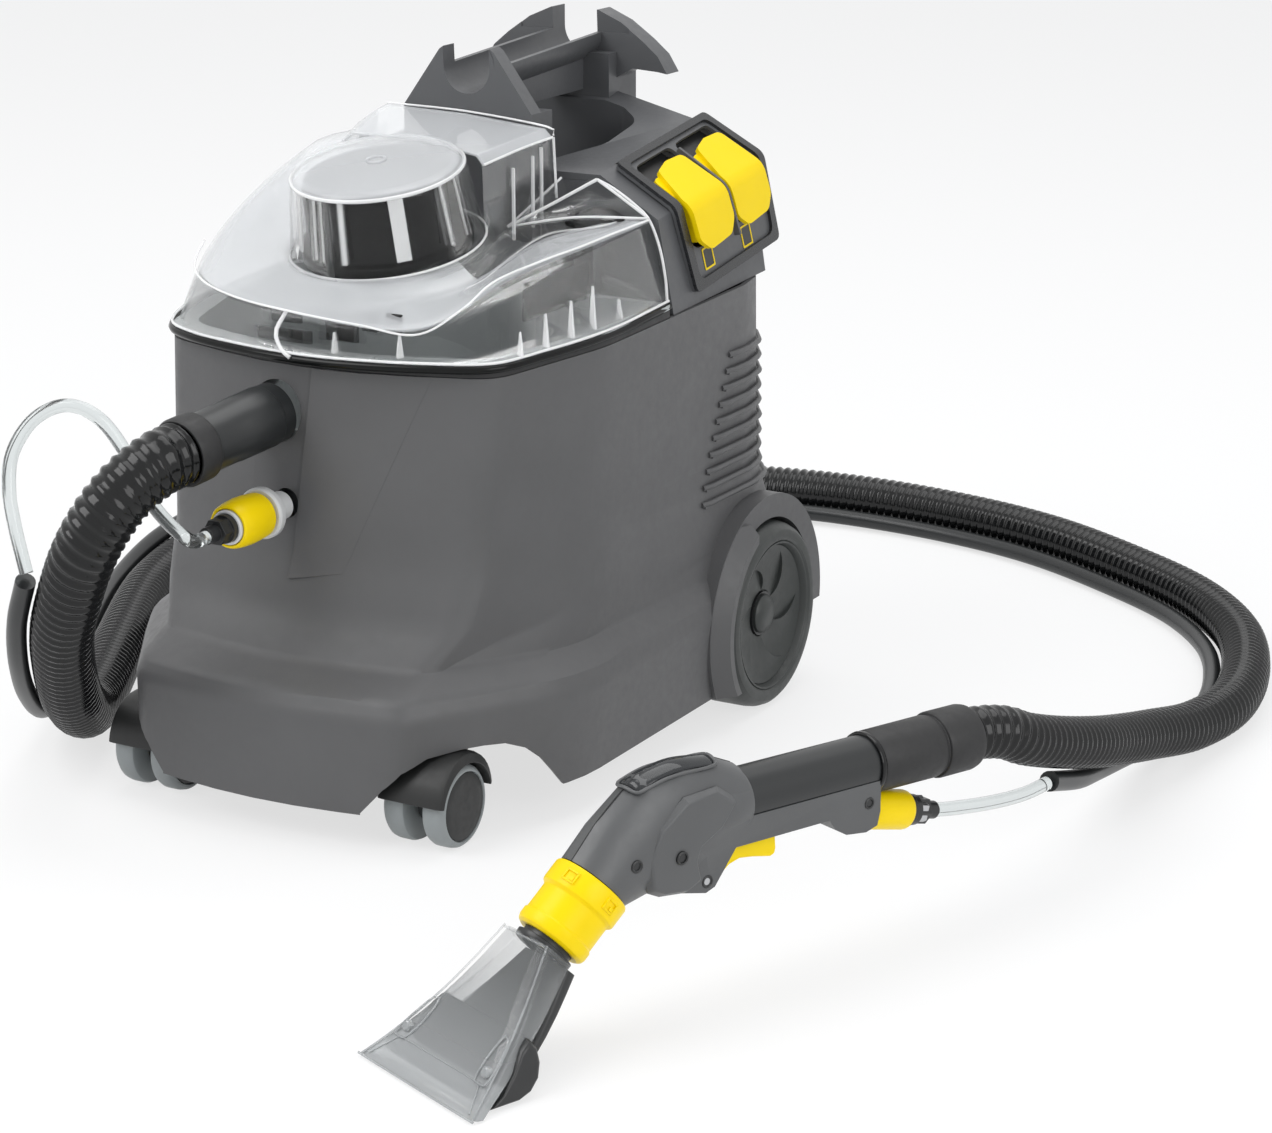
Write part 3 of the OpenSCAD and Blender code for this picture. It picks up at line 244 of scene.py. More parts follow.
# Injection-moulded plastic: an even colour that drifts a little, a fine leather-like grain, scuffed gloss
def mouldedPlastic(name, colour, roughness, grainMm, grainDepth, drift=0.06, scuff=0.1):
    material, tree, place = newMaterial(name)
    broad = addNode(tree, "TexNoise", {"Vector": place, "Scale": 18.0,
                                       "Detail": 3.0})  # patches of about 55 mm
    shade = addNode(tree, "MapRange", {"Value": broad.outputs[0], "From Min": 0.3, "From Max": 0.7,
                                       "To Min": 1 - drift, "To Max": 1 + drift})
    tint = addNode(tree, "VectorMath", {0: hexColour(colour)[:3], "Scale": shade.outputs[0]},
                   operation="SCALE")
    # Scuffs of about 6 mm
    scratch = addNode(tree, "TexNoise", {"Vector": place, "Scale": 160.0, "Detail": 6.0, "Roughness": 0.7})
    gloss = addNode(tree, "MapRange", {"Value": scratch.outputs[0], "From Min": 0.35, "From Max": 0.75,
                                       "To Min": roughness - scuff / 2, "To Max": roughness + scuff})
    grain = addNode(tree, "TexVoronoi", {"Vector": place, "Scale": 1000 / grainMm}, feature="SMOOTH_F1")
    bump = addNode(tree, "Bump", {"Height": grain.outputs["Distance"], "Strength": 0.35,
                                  "Distance": grainDepth * mm})
    setShader(material, {"Base Color": tint.outputs[0], "Roughness": gloss.outputs[0],
                         "Normal": bump.outputs[0], "IOR": 1.5})
    return material


# Clear plastic, moulded and polished: nearly colourless, with faint flow lines
def clearPlastic(name, colour="#f4f7f7", roughness=0.02):
    material, tree, place = newMaterial(name)
    flow = addNode(tree, "TexNoise", {"Vector": place, "Scale": 45.0, "Detail": 2.0})  # about 22 mm apart
    bump = addNode(tree, "Bump", {"Height": flow.outputs[0], "Strength": 0.25, "Distance": 0.05 * mm})
    setShader(material, {"Base Color": hexColour(colour), "Roughness": roughness, "Normal": bump.outputs[0],
                         "IOR": 1.45, "Transmission Weight": 1.0})
    return material


# Turned or cast metal: fine rings from the lathe
def turnedMetal(name, colour, roughness):
    material, tree, place = newMaterial(name)
    rings = addNode(tree, "TexNoise", {"Vector": place, "Scale": 900.0, "Detail": 2.0})  # about 1 mm apart
    bump = addNode(tree, "Bump", {"Height": rings.outputs[0], "Strength": 0.15, "Distance": 0.02 * mm})
    setShader(material, {"Base Color": hexColour(colour), "Roughness": roughness, "Normal": bump.outputs[0],
                         "Metallic": 1.0})
    return material


# Moulded ABS with a soft grain: dull greys for the shells, and blacks from dull to satin for small parts
housingAbs = mouldedPlastic("housingGreyAbs", "#535354", 0.48, 0.8, 0.05)
deckAbs = mouldedPlastic("deckDarkAbs", "#505153", 0.42, 0.8, 0.05)
toolAbs = mouldedPlastic("toolGreyAbs", "#525354", 0.4, 0.8, 0.04)
blackAbs = mouldedPlastic("blackAbs", "#1f2021", 0.35, 0.8, 0.04)
glossAbs = mouldedPlastic("panelBlackAbs", "#262729", 0.26, 0.9, 0.02)
discAbs = mouldedPlastic("casterDiscMouldedAbs", "#181919", 0.5, 0.6, 0.01)
# The float cage is moulded in a polished tool, so that it mirrors its surroundings
cageAbs = mouldedPlastic("cageBlackAbs", "#0d0e0e", 0.12, 1.2, 0.01)
# Pale and yellow ABS is nearly smooth, and the yellow stays deep because its gloss is low
paleAbs = mouldedPlastic("paleMouldedAbs", "#c9caca", 0.4, 0.9, 0.03)
# The dirty tank's grey is darkened to paint the shade that lies inside it under the lid
tankShadedAbs = mouldedPlastic("tankPaintedShadeMouldedAbs", "#a4a8a8", 0.3, 1.2, 0.02)
yellowAbs = mouldedPlastic("switchYellowAbs", "#f2d200", 0.36, 1.0, 0.02, 0.03)
# Extruded PVC: smooth and even along the tubes, and wet-looking on the ribs of the suction hose
tubePvc = mouldedPlastic("tubeExtrudedPvc", "#202223", 0.34, 0.5, 0.004, 0.04, 0.0)
hosePvc = mouldedPlastic("hoseCorrugatedPvc", "#0e0f10", 0.14, 1.4, 0.01)
# Moulded rubber and the softer TPE of the wheels: broad dull highlights
rubber = mouldedPlastic("sealMouldedRubber", "#1c1c1d", 0.55, 0.5, 0.05)
wheelTpe = mouldedPlastic("wheelMouldedTpe", "#323534", 0.46, 0.8, 0.05)
casterTpe = mouldedPlastic("casterMouldedTpe", "#8d9293", 0.45, 0.8, 0.05)
# Metal is seen only in small parts: a warm jet, plated pins, a dull cast rotor
brassMetal = turnedMetal("jetTurnedBrass", "#b08d57", 0.3)
steelMetal = turnedMetal("pinTurnedSteel", "#b9babc", 0.28)
rotorMetal = turnedMetal("rotorCastAluminium", "#a9abae", 0.4)
# Polycarbonate of the lid: its walls, a paler copy for its top that paints the room's light on it, and its
# thick edges
clearPc = clearPlastic("lidClearPolycarbonate")
lidLitTopPc = clearPlastic("lidTopPaintedLightPolycarbonate", "#f1f3f5", 0.06)
# The edges' copy is nearly opaque white and paints the highlights along them
edgeHighlightPc = clearPlastic("lidEdgePaintedHighlightPolycarbonate", "#ffffff", 0.12)
# The tool's smoked window is half dark, and its nozzle is dulled by use
smokePc = clearPlastic("windowSmokedPolycarbonate", "#3a3d40", 0.05)
nozzlePc = clearPlastic("nozzleClearPolycarbonate", "#c2c5c6", 0.06)
# Soft clear PVC of the spray hoses has a milky skin
hoseClear = clearPlastic("sprayHoseClearPvc", "#dfe4e4", 0.12)
for material in (yellowAbs, cageAbs):
    setShader(material, {"Specular IOR Level": 0.2})
setShader(hosePvc, {"Specular IOR Level": 0.35})
setShader(smokePc, {"Transmission Weight": 0.5})
setShader(clearPc, {"Alpha": 0.26})
setShader(lidLitTopPc, {"Transmission Weight": 0.3, "Alpha": 0.46})
setShader(edgeHighlightPc, {"Transmission Weight": 0.25, "Alpha": 0.8})
# The nozzle is milkier at its mouth, 10 mm above the floor, than at its neck, 50 mm above it
nozzleSet = {"mouth": 0.01, "neck": 0.05, "mouthAlpha": 0.84, "neckAlpha": 0.3}
nozzleTree = nozzlePc.node_tree
height = addNode(nozzleTree, "SeparateXYZ", {0: nozzleTree.nodes["Texture Coordinate"].outputs["Object"]})
fade = addNode(nozzleTree, "MapRange", {
    "Value": height.outputs["Z"], "From Min": nozzleSet["mouth"], "From Max": nozzleSet["neck"],
    "To Min": nozzleSet["mouthAlpha"], "To Max": nozzleSet["neckAlpha"]})
setShader(nozzlePc, {"Alpha": fade.outputs["Result"], "Transmission Weight": 0.5})
print("materials made")

# Camera, lamps and floor
cameraSet = {"place": spot(1047.3, -1640.9, 707.2), "aim": spot(171.9, -55.2, 150), "lens": 91.2,
             "sensor": 36.0, "near": 0.05}
# Each lamp: name, place, aim, size in metres, power in watts
lampSet = [("keyLamp", (-1.2, -1.6, 2.2), (0.0, 0.0, 0.2), 1.8, 42.0),
           ("fillLamp", (2.4, -0.9, 1.3), (0.0, 0.0, 0.2), 1.6, 22.0),
           ("topLamp", (0.1, 0.6, 2.8), (0.0, 0.0, 0.1), 2.0, 26.0)]


def aimAt(piece, place, target):
    piece.location = place
    piece.rotation_euler = (Vector(target) - Vector(place)).to_track_quat("-Z", "Y").to_euler()
    scene.collection.objects.link(piece)


camera = bpy.data.objects.new("camera", bpy.data.cameras.new("camera"))
camera.data.lens = cameraSet["lens"]
camera.data.sensor_width = cameraSet["sensor"]
camera.data.clip_start = cameraSet["near"]
aimAt(camera, cameraSet["place"], cameraSet["aim"])
scene.camera = camera
scene.view_settings.view_transform = "Standard"
for lampName, place, target, size, power in lampSet:
    lamp = bpy.data.objects.new(lampName, bpy.data.lights.new(lampName, "AREA"))
    lamp.data.shape = "SQUARE"
    lamp.data.size = size
    lamp.data.energy = power
    aimAt(lamp, place, target)


# 1 for what the eye sees straight, through a clear wall or in a gloss, and 0 for light on a dull surface
def seenRays(tree):
    rays = addNode(tree, "LightPath").outputs
    seen = addNode(tree, "Math", {0: rays["Is Camera Ray"], 1: rays["Is Transmission Ray"]},
                   operation="MAXIMUM")
    shown = addNode(tree, "Math", {0: seen.outputs[0], 1: rays["Is Glossy Ray"]}, operation="MAXIMUM")
    return shown.outputs[0]


world = bpy.data.worlds.new("studioWorld")
scene.world = world
world.use_nodes = True
worldTree = world.node_tree
worldTree.nodes.clear()
roomLight = addNode(worldTree, "Background", {"Color": (0.9, 0.92, 0.95, 1), "Strength": 0.62})
whiteSheet = addNode(worldTree, "Background", {"Color": (1, 1, 1, 1), "Strength": 1.0})
mixed = addNode(worldTree, "MixShader", {0: seenRays(worldTree), 1: roomLight.outputs[0],
                                         2: whiteSheet.outputs[0]})
addNode(worldTree, "OutputWorld", {"Surface": mixed.outputs[0]})

# Studio paper: matt white, lifted to plain white for the eye while it keeps a soft shadow
paper, paperTree = newMaterial("floorStudioPaper")[:2]
setShader(paper, {"Base Color": hexColour("#f2f2f2"), "Roughness": 0.9})
paperShare = addNode(paperTree, "Math", {0: seenRays(paperTree), 1: 0.7}, operation="MULTIPLY")
paperGlow = addNode(paperTree, "Emission", {"Color": (1, 1, 1, 1), "Strength": 1.0})
paperMix = addNode(paperTree, "MixShader", {
    0: paperShare.outputs[0], 1: paperTree.nodes["Principled BSDF"].outputs[0], 2: paperGlow.outputs[0]})
fillInputs(paperTree, paperTree.nodes["Material Output"], {"Surface": paperMix.outputs[0]})
floorMesh = bmesh.new()
bmesh.ops.create_circle(floorMesh, cap_ends=True, segments=64, radius=7.0)
floorData = bpy.data.meshes.new("studioFloor")
floorMesh.to_mesh(floorData)
floorMesh.free()
floorPiece = bpy.data.objects.new("studioFloor", floorData)
scene.collection.objects.link(floorPiece)
floorData.materials.append(paper)
print("camera, lamps and floor set")


# Points spaced evenly, by a step in metres, on a smooth curve that goes through every point of a route
def smoothRoute(route, step):
    ends = [route[0] + (route[0] - route[1])] + route + [route[-1] + (route[-1] - route[-2])]
    fine = []
    for i in range(1, len(ends) - 2):
        a, b, c, d = ends[i - 1:i + 3]
        for k in range(24):
            t = k / 24
            fine.append(0.5 * ((2 * b) + (c - a) * t + (2 * a - 5 * b + 4 * c - d) * t * t
                               + (3 * b - a - 3 * c + d) * t ** 3))
    fine.append(route[-1].copy())
    total = runLength(fine)
    count = max(2, round(total / step))
    out, target, walked = [fine[0]], total / count, 0.0
    for a, b in zip(fine, fine[1:]):
        gap = (b - a).length
        while walked + gap >= target - 1e-9 and len(out) < count:
            out.append(a.lerp(b, (target - walked) / gap))
            target += total / count
        walked += gap
    return out + [fine[-1]]


def runLength(points):
    return sum((b - a).length for a, b in zip(points, points[1:]))


# Headings with a side and an up vector at each point of a route, kept level
def routeFrames(points):
    frames = []
    for i, point in enumerate(points):
        ahead = (points[min(i + 1, len(points) - 1)] - points[max(i - 1, 0)]).normalized()
        side = Vector((0, 0, 1)).cross(ahead).normalized()
        frames.append((point, ahead, side, ahead.cross(side)))
    return frames


# A tube of rings bridged one after another; radiusAt(i, turn) is in metres, with turn from 0 to 1
def sweepTube(points, sides, radiusAt):
    bm = bmesh.new()
    rings = []
    for i, (point, _, side, up) in enumerate(routeFrames(points)):
        ring = []
        for j in range(sides):
            angle = 2 * math.pi * j / sides
            radius = radiusAt(i, j / sides)
            ring.append(bm.verts.new(point + (side * math.cos(angle) + up * math.sin(angle)) * radius))
        rings.append(ring)
    for a, b in zip(rings, rings[1:]):
        for j in range(sides):
            bm.faces.new((a[j], a[(j + 1) % sides], b[(j + 1) % sides], b[j]))
    bm.faces.new(rings[0][::-1])
    bm.faces.new(rings[-1])
    return bm


# For sweepTube: a tube of one width, given in millimetres
def evenRadius(width):
    return lambda i, turn: width / 2 * mm


# Hoses: widths and steps in millimetres; the taper and the sheath start at numbered points of the route
hoseSet = {"wide": 38.0, "narrow": 30.0, "taperFrom": 11, "pitch": 6.6, "perPitch": 5, "rib": 1.5,
           "ribShare": 0.62, "sheath": 12.0, "spray": 8.0, "sheathFrom": 5, "sheathGap": 1.2}
hoseRoute = [spot(*p) for p in [
    (-31.5, -224, 231.4), (-34, -241, 229), (-42, -258, 218), (-53, -268, 200), (-66, -270, 178),
    (-84, -261, 150), (-104, -245, 122), (-126, -219, 91), (-152, -182, 55), (-178, -138, 27),
    (-205, -90, 19), (-255, 0, 19), (-310, 105, 19), (-334, 190, 19), (-332, 280, 19), (-302, 368, 19),
    (-245, 445, 19), (-165, 505, 19), (-80, 542, 19), (15, 562, 19), (110, 560, 18), (200, 536, 18),
    (285, 492, 17), (350, 444, 17), (398, 384, 17), (427, 315, 17), (440, 248, 17), (437, 185, 21),
    (431, 122, 34), (429, 70, 47), (429, 25, 60), (426, -20, 74), (421, -57, 87), (416, -76, 96),
    (409, -92, 100), (404.6, -102.4, 100.6)]]
frontRoute = [spot(*p) for p in [
    (-12, -227, 186), (-12, -243, 189), (-43, -233, 202), (-63, -232, 232), (-76, -238, 251),
    (-94, -244, 257), (-111, -252, 248), (-119, -262, 230), (-118, -268, 210), (-112, -272, 190),
    (-103, -275, 164)]]
rearRoute = [spot(*p) for p in [(396, -124, 63), (401, -110, 60), (411, -80, 55), (419, -52, 52),
                                (424, -30, 52)]]
sheathLeans = [32, 15, 0, 0, 0, 0, 0, 12, 45, 78, 110, 142, 174, 200, 205, 205, 205, 205, 205, 205, 205, 205,
               212, 228, 243, 258, 268]


def hoseWidth(place):
    past = max(0.0, place - hoseSet["taperFrom"]) / (len(hoseRoute) - 1 - hoseSet["taperFrom"])
    return hoseSet["wide"] - (hoseSet["wide"] - hoseSet["narrow"]) * past


hosePoints = smoothRoute(hoseRoute, hoseSet["pitch"] / hoseSet["perPitch"] * mm)
hoseScale = (len(hoseRoute) - 1) / (len(hosePoints) - 1)


# The rib is a raised rounded thread that winds round the hose once a pitch
def hoseRadius(i, turn):
    width = hoseWidth(i * hoseScale) / 2 * mm
    phase = (i / hoseSet["perPitch"] + turn) % 1.0
    rise = max(0.0, math.sin(math.pi * min(1.0, phase / hoseSet["ribShare"]))) ** 0.7
    return width - hoseSet["rib"] * mm * (1 - rise)


# The sheath lies against the hose, on a side that leans round it along the way
sheathRoute = []
for i, (point, _, side, up) in enumerate(routeFrames(hoseRoute)):
    k = i - hoseSet["sheathFrom"]
    if 0 <= k < len(sheathLeans):
        lean = math.radians(sheathLeans[k])
        reach = ((hoseWidth(i) + hoseSet["sheath"]) / 2 + hoseSet["sheathGap"]) * mm
        sheathRoute.append(point + reach * (math.cos(lean) * side + math.sin(lean) * up))

cordList = []
for name, node, material, route, points, sides, radiusAt, width, stiffness in (
        ("suctionHoseRibbed", "suction_hose", hosePvc, hoseRoute, hosePoints, 24, hoseRadius, 0.038, "stiff"),
        ("sheathSmooth", "hose_sheath", tubePvc, sheathRoute, smoothRoute(sheathRoute, 8 * mm), 16,
         evenRadius(hoseSet["sheath"]), 0.012, "medium"),
        ("sprayHoseFrontClear", "spray_hose_front", hoseClear, frontRoute, smoothRoute(frontRoute, 3 * mm),
         16, evenRadius(hoseSet["spray"]), 0.008, "medium"),
        ("sprayHoseRearClear", "spray_hose_rear", hoseClear, rearRoute, smoothRoute(rearRoute, 3 * mm),
         16, evenRadius(hoseSet["spray"]), 0.008, "medium")):
    piece = standIn(name, sweepTube(points, sides, radiusAt), node, material, sharp=80)
    cordList.append((piece, route, points, width, stiffness))
print("hoses laid")

# Clear lid: each station has its foot, wall top, inner ridge and inner foot, from the rear right round the
# front to the rear left; creases are the sharpness of those four lines, and the tall side is softer on top
lidSet = {"wall": 2.2, "levels": 2, "turretFoot": 331, "turretY": -51.5, "tilt": 12, "roofLine": 42.5,
          "creases": (1.0, 0.75, 0.25, 0.6), "softWall": 0.2, "tallFrom": 11, "innerFrom": 4, "stations": [
    ((137, 49, 284), (124, 48, 334.5), (114, 47.5, 335), (60, 47, 337)),
    ((138, 20, 283), (117, 18, 331), (98, 27, 331), (55, 25, 334)),
    ((137, -10, 281), (110, -12, 327), (74, 12, 327), (48, 3, 329)),
    ((134, -45, 280), (101, -42, 323), (69, -22, 319), (58, -34, 327)),
    ((127, -80, 279), (92, -80, 317), (71, -62, 311), (58, -62, 322)),
    ((113, -116, 277), (86, -106, 305), (60, -96, 306), (46, -90, 318)),
    ((80, -133, 276.5), (70, -129, 293), (42, -116, 303), (28, -104, 316)),
    ((40, -144, 276.3), (38, -139, 297), (24, -127, 302), (11, -109, 315)),
    ((0, -148, 276.2), (0, -143, 300.5), (-4, -133, 303), (-9, -109, 315)),
    ((-50, -142, 276.4), (-46, -138, 303.5), (-42, -127, 306), (-32, -102, 317)),
    ((-90, -131, 276.7), (-86, -119, 306), (-74, -108, 311), (-49, -85, 321)),
    ((-116, -112, 277), (-114, -90, 309), (-98, -78, 318), (-58, -60, 326)),
    ((-132, -70, 279), (-136, -50, 314), (-118, -40, 332), (-57, -30, 333)),
    ((-137, -20, 281), (-145, -10, 322), (-124, 0, 352), (-54, 5, 352)),
    ((-138, 49, 284), (-143, 46, 338), (-119, 46, 366), (-62, 46, 379))]}
lidBm = bmesh.new()
lidRows = [[lidBm.verts.new(spot(*level)) for level in station] for station in lidSet["stations"]]
crease = lidBm.edges.layers.float.new("crease_edge")
for i, (a, b) in enumerate(zip(lidRows, lidRows[1:])):
    for k in range(3):
        lidBm.faces.new((a[k], b[k], b[k + 1], a[k + 1]))
    for k, sharpness in enumerate(lidSet["creases"]):
        soft = k == 1 and i >= lidSet["tallFrom"]
        lidBm.edges.get((a[k], b[k]))[crease] = lidSet["softWall"] if soft else sharpness
for row in (lidRows[0], lidRows[-1]):
    for a, b in zip(row, row[1:]):
        lidBm.edges.get((a, b))[crease] = 1.0
faceUp(lidBm, 2)
# The paler copy, which paints the light on the lid, covers the top, the slopes inside it from the fifth
# stretch on, and all of the tall side
for j, face in enumerate(lidBm.faces):
    stretch, level = divmod(j, 3)
    inside = level == 2 and stretch >= lidSet["innerFrom"]
    face.material_index = 1 if level == 1 or inside or stretch >= lidSet["tallFrom"] else 0
lidPiece = shellPiece("lidDomeClear", lidBm, "tank_lid", clearPc, lidSet["levels"],
                      lidSet["wall"], "clear_lid")
lidPiece.data.materials.append(lidLitTopPc)

# Turret: outer skin up from its foot, over the roof with a small knob on it, and back down inside
turretFrame = frameAt(0, lidSet["turretY"], lidSet["turretFoot"], x=lidSet["tilt"])
turretProfile = [(64, -9), (63, -7.4), (60.5, -6.6), (59.2, -5), (58.3, 0), (53.2, 38), (52.4, 42),
                 (50.5, 44.6), (47, 45.8), (46, 45.9), (30, 46.6), (6.5, 47), (6.2, 48), (4.6, 48.2),
                 (4.2, 47), (0, 47), (0, 44.6), (5, 44.6), (30, 44.4), (45, 43.7), (49, 42.4), (50.4, 40),
                 (51, 37), (56.2, -2), (57.2, -7), (59.5, -9.4)]
turretBm = spinProfile(turretProfile, turretFrame, 72)
roofLine = turretFrame @ spot(0, 0, lidSet["roofLine"])
roofUp = turretFrame.to_3x3() @ Vector((0, 0, 1))
# Faces above the roof line take the paler copy, which paints the light falling on the roof
for face in turretBm.faces:
    face.material_index = 1 if (face.calc_center_median() - roofLine).dot(roofUp) > 0 else 0
turretPiece = makePiece("lidTurretClear", turretBm, "tank_lid", "clear_plastic", clearPc, sharp=50)
turretPiece.data.materials.append(lidLitTopPc)


# A thick rounded edge that runs along a line of points given in millimetres; its default white edge copy of
# the lid's plastic paints a highlight along it
def edgeBead(name, points, radius, material=edgeHighlightPc, body="tank_lid", slot="clear_plastic", closed=False,
             step=4):
    run = [spot(*p) for p in points]
    route = smoothRoute(run + run[:2] if closed else run, step * mm)
    makePiece(name, sweepTube(route, 8, evenRadius(radius * 2)), body, slot, material, sharp=80)


# Points of a ring round the turret, at a radius and a height in its frame
def turretRing(radius, z):
    turns = [2 * math.pi * k / 40 for k in range(41)]
    return [inMm(turretFrame @ spot(radius * math.cos(a), radius * math.sin(a), z)) for a in turns]


# Beads in the white edge copy paint the highlights along the lid's rims, ridges and edges
edgeBead("turretRoofBead", turretRing(51.6, 41.4), 1.3)
edgeBead("turretFootBead", turretRing(59.4, -4.5), 0.8)
footLine, wallLine, ridgeLine = ([station[k] for station in lidSet["stations"]] for k in range(3))
edgeBead("lidFootBead", [(x, y, z + 1.6) for x, y, z in footLine], 0.9)
edgeBead("lidWallBead", wallLine[:13], 0.7)
edgeBead("lidRidgeBead", ridgeLine[:6], 0.6)
edgeBead("brimBandBlack", [(x, y, z - 1.9) for x, y, z in footLine], 2.5, cageAbs, bodyOf["dirty_water_tank"],
         "black_plastic")
edgeBead("lidRearBead", [(136.5, 48, 286), (135, 48.5, 300), (131, 48.5, 318), (124, 48.5, 334),
                         (115, 48.5, 342), (100, 48.5, 351), (88, 48, 356)], 0.9)
edgeBead("lidLatchBead", [(-13, -139, 300), (-16, -146, 289), (-11, -149, 280), (-4, -150, 275.5)], 1.3)

# Float cage: a glossy black drum with a flange round its foot and a ledge inside its head
cageSet = {"radius": 47.5, "wall": 2.6}
outerR, innerR = cageSet["radius"], cageSet["radius"] - cageSet["wall"]
cageProfile = [(outerR - 3, -12), (outerR, -10), (outerR + 4, -9), (outerR + 4.4, -4), (outerR + 4, -1),
               (outerR, 0), (outerR - 1.5, 36), (outerR - 3, 40), (innerR - 3, 40), (innerR - 1.5, 36),
               (innerR, 0), (innerR, -8), (14, -9), (14, -12)]
standIn("floatCageBlack", spinProfile(cageProfile, turretFrame, 72), "float_cage", cageAbs, sharp=40)

# Guide ribs between the turret and the cage, in the white edge copy that paints them as bright uprights:
# angle round it and width
guideSet = {"radius": 52.8, "leanIn": 4.2, "thick": 1.2, "foot": 2, "height": 37}
ribSet = [(-85, 3.4), (-46, 9.0), (-109, 1.6), (-102, 1.0), (-131, 7.0), (-10, 1.6), (8, 1.2), (70, 3.0),
          (140, 3.0)]
guideBm = bmesh.new()


def guideShape(x, y, z):
    return (guideSet["radius"] - guideSet["leanIn"] * (z + 0.5) + x * guideSet["thick"], y * width,
            guideSet["foot"] + guideSet["height"] * (z + 0.5))


for lean, width in ribSet:
    addBlock(guideBm, guideShape, turretFrame @ frameAt(0, 0, 0, z=lean))
makePiece("turretGuideRibs", guideBm, "tank_lid", "clear_plastic", edgeHighlightPc, bevel=0.3)

# Spine between the turret and the handle: open below and at both ends, with its top in the paler copy that
# paints the light falling on it
spineSet = {"wall": 2.0, "topFrom": 372}
spineSections = [[(64, 39.5, 338), (62, 39.5, 381), (57, 39.5, 386), (0, 39.5, 391), (-58, 39.5, 392.5),
                  (-66, 39.5, 388), (-68, 39.5, 360)],
                 [(56, 12, 328), (57, 12, 378), (52, 12, 383), (0, 12, 388), (-54, 12, 389), (-62, 12, 384),
                  (-64, 12, 356)],
                 [(50, -20, 322), (49, -20, 372), (44, -20, 378), (0, -16, 384), (-46, -18, 384),
                  (-54, -18, 378), (-56, -18, 350)]]
spineBm = loftSections(spineSections, closed=False)
for face in spineBm.faces:
    high = face.calc_center_median().z > spineSet["topFrom"] * mm
    face.material_index = 1 if face.normal.z > 0.5 or high else 0
spinePiece = shellPiece("lidSpineClear", spineBm, "tank_lid", clearPc, 0, spineSet["wall"])
spinePiece.data.materials.append(lidLitTopPc)
soften(spinePiece, 2.5, 3, 15)
edgeBead("spineTopBead", [(49, -20, 372), (57, 12, 378), (62, 39, 381)], 0.8)
edgeBead("spineEndBead", [(62, 40, 381), (63, 40, 362), (64, 40, 344)], 0.9)
edgeBead("spineRearBead", [(62, 40, 382), (57, 40, 387), (0, 40, 392), (-58, 40, 393)], 0.7)

# Wedge beside the spine: a raised prism with a hollow facet, over a dark dish
wedgeBm = bmesh.new()
wedgePoints = {name: wedgeBm.verts.new(spot(*p)) for name, p in {
    "peak": (89, 46, 356), "left": (64, 46, 355), "tip": (47, 10, 329), "low": (124, 47.5, 335),
    "mid": (86, 24, 336)}.items()}
for names in (("left", "tip", "peak"), ("peak", "tip", "mid"), ("peak", "mid", "low")):
    wedgeBm.faces.new([wedgePoints[name] for name in names])
faceUp(wedgeBm, 0)
shellPiece("lidWedgeClear", wedgeBm, "tank_lid", clearPc, 0, 2.0)
edgeBead("wedgeRidgeBead", [(89, 46, 356.4), (68, 28, 342.5), (47, 10, 329.5)], 1.1)
edgeBead("wedgeSideBead", [(89, 46, 356.4), (107, 47, 345.5), (124, 47.5, 335.4)], 0.9)
edgeBead("wedgeFootBead", [(47, 10, 329.5), (86, 24, 336.5), (124, 47.5, 335.4)], 0.8)
edgeBead("wedgeLeftBead", [(64, 46, 355.4), (55, 28, 342), (47, 10, 329.5)], 0.8)
dishBm = bmesh.new()
dishBm.faces.new([dishBm.verts.new(spot(*p)) for p in (
    (73, 26, 331), (80, 36, 335), (90, 43, 341), (104, 44, 338), (114, 43, 334), (104, 33, 330),
    (90, 24, 328))])
shellPiece("wedgeDishDark", dishBm, "tank_lid", cageAbs, 2, 1.2)

# Dark baffles hang in the tank behind the lid's front and right walls: low and high corners of each
baffleSet = [((-37, -121, 288), (-16, -118, 296)), ((-48, -120, 276), (-10, -117, 284)),
             ((2, -122, 281), (24, -119, 297)), ((27, -122, 289), (38, -119, 300)),
             ((43, -121, 290), (54, -118, 301)), ((98, -60, 290), (101, 14, 313)),
             ((90, 14, 297), (101, 20, 325))]
baffleBm = bmesh.new()
for low, high in baffleSet:
    addBlock(baffleBm, lambda *unit: [(p + q) / 2 + c * (q - p) for p, q, c in zip(low, high, unit)])
makePiece("tankBafflesDark", baffleBm, "tank_lid", "black_plastic", cageAbs, bevel=1.0)


# An upright bar that narrows to its head
def uprightBar(bm, foot, width, depth, height, turn, head):
    def barShape(x, y, z):
        shrink = head if z > 0 else 1.0
        return x * width * shrink, y * depth * shrink, (z + 0.5) * height

    addBlock(bm, barShape, frameAt(*foot, z=turn))


# Ribs on the inside of the lid's wall, narrow at the head: foot, height and turn
ribsBm = bmesh.new()
for foot, height, turn in (((120, -98, 280), 14, -30), ((124, -76, 281), 20, -20), ((127, -52, 282), 22, -12),
                           ((129, -30, 283), 26, -6), ((131, -2, 284), 12, 0), ((60, -132, 279), 14, 70),
                           ((20, -139, 279), 12, 80)):
    uprightBar(ribsBm, foot, 4.5, 2.2, height, turn, 0.35)
# Three thin bars beside the spine
for y, z in ((30, 340), (22, 336), (4, 331)):
    uprightBar(ribsBm, (55 + (y - 4) * 0.16, y, z - 8), 2.0, 1.4, 44, 0, 1.0)
# The ribs and bars take the white edge copy, which paints their highlights
makePiece("lidRibsClear", ribsBm, "tank_lid", "clear_plastic", edgeHighlightPc, bevel=0.3)
print("lid made")

# The housing keeps its CAD outline; extra loops beside its level lines hold the ledge crisp, and the ledge is
# pulled in between low and high, most at its peak, except over the wheel arches
housingSet = {"loops": (76, 84, 87.5, 92.5, 99.5, 104.5, 118, 132, 150, 172), "ledge": 102.0, "pull": 5.0,
              "low": 90.0, "high": 125.0, "half": (150, 200), "archX": 100, "archY": 60}
housingBm = mergedCopy("lower_housing")
joinFlatFaces(housingBm)
for level in housingSet["loops"]:
    cutPlane(housingBm, spot(0, 0, level), (0, 0, 1))


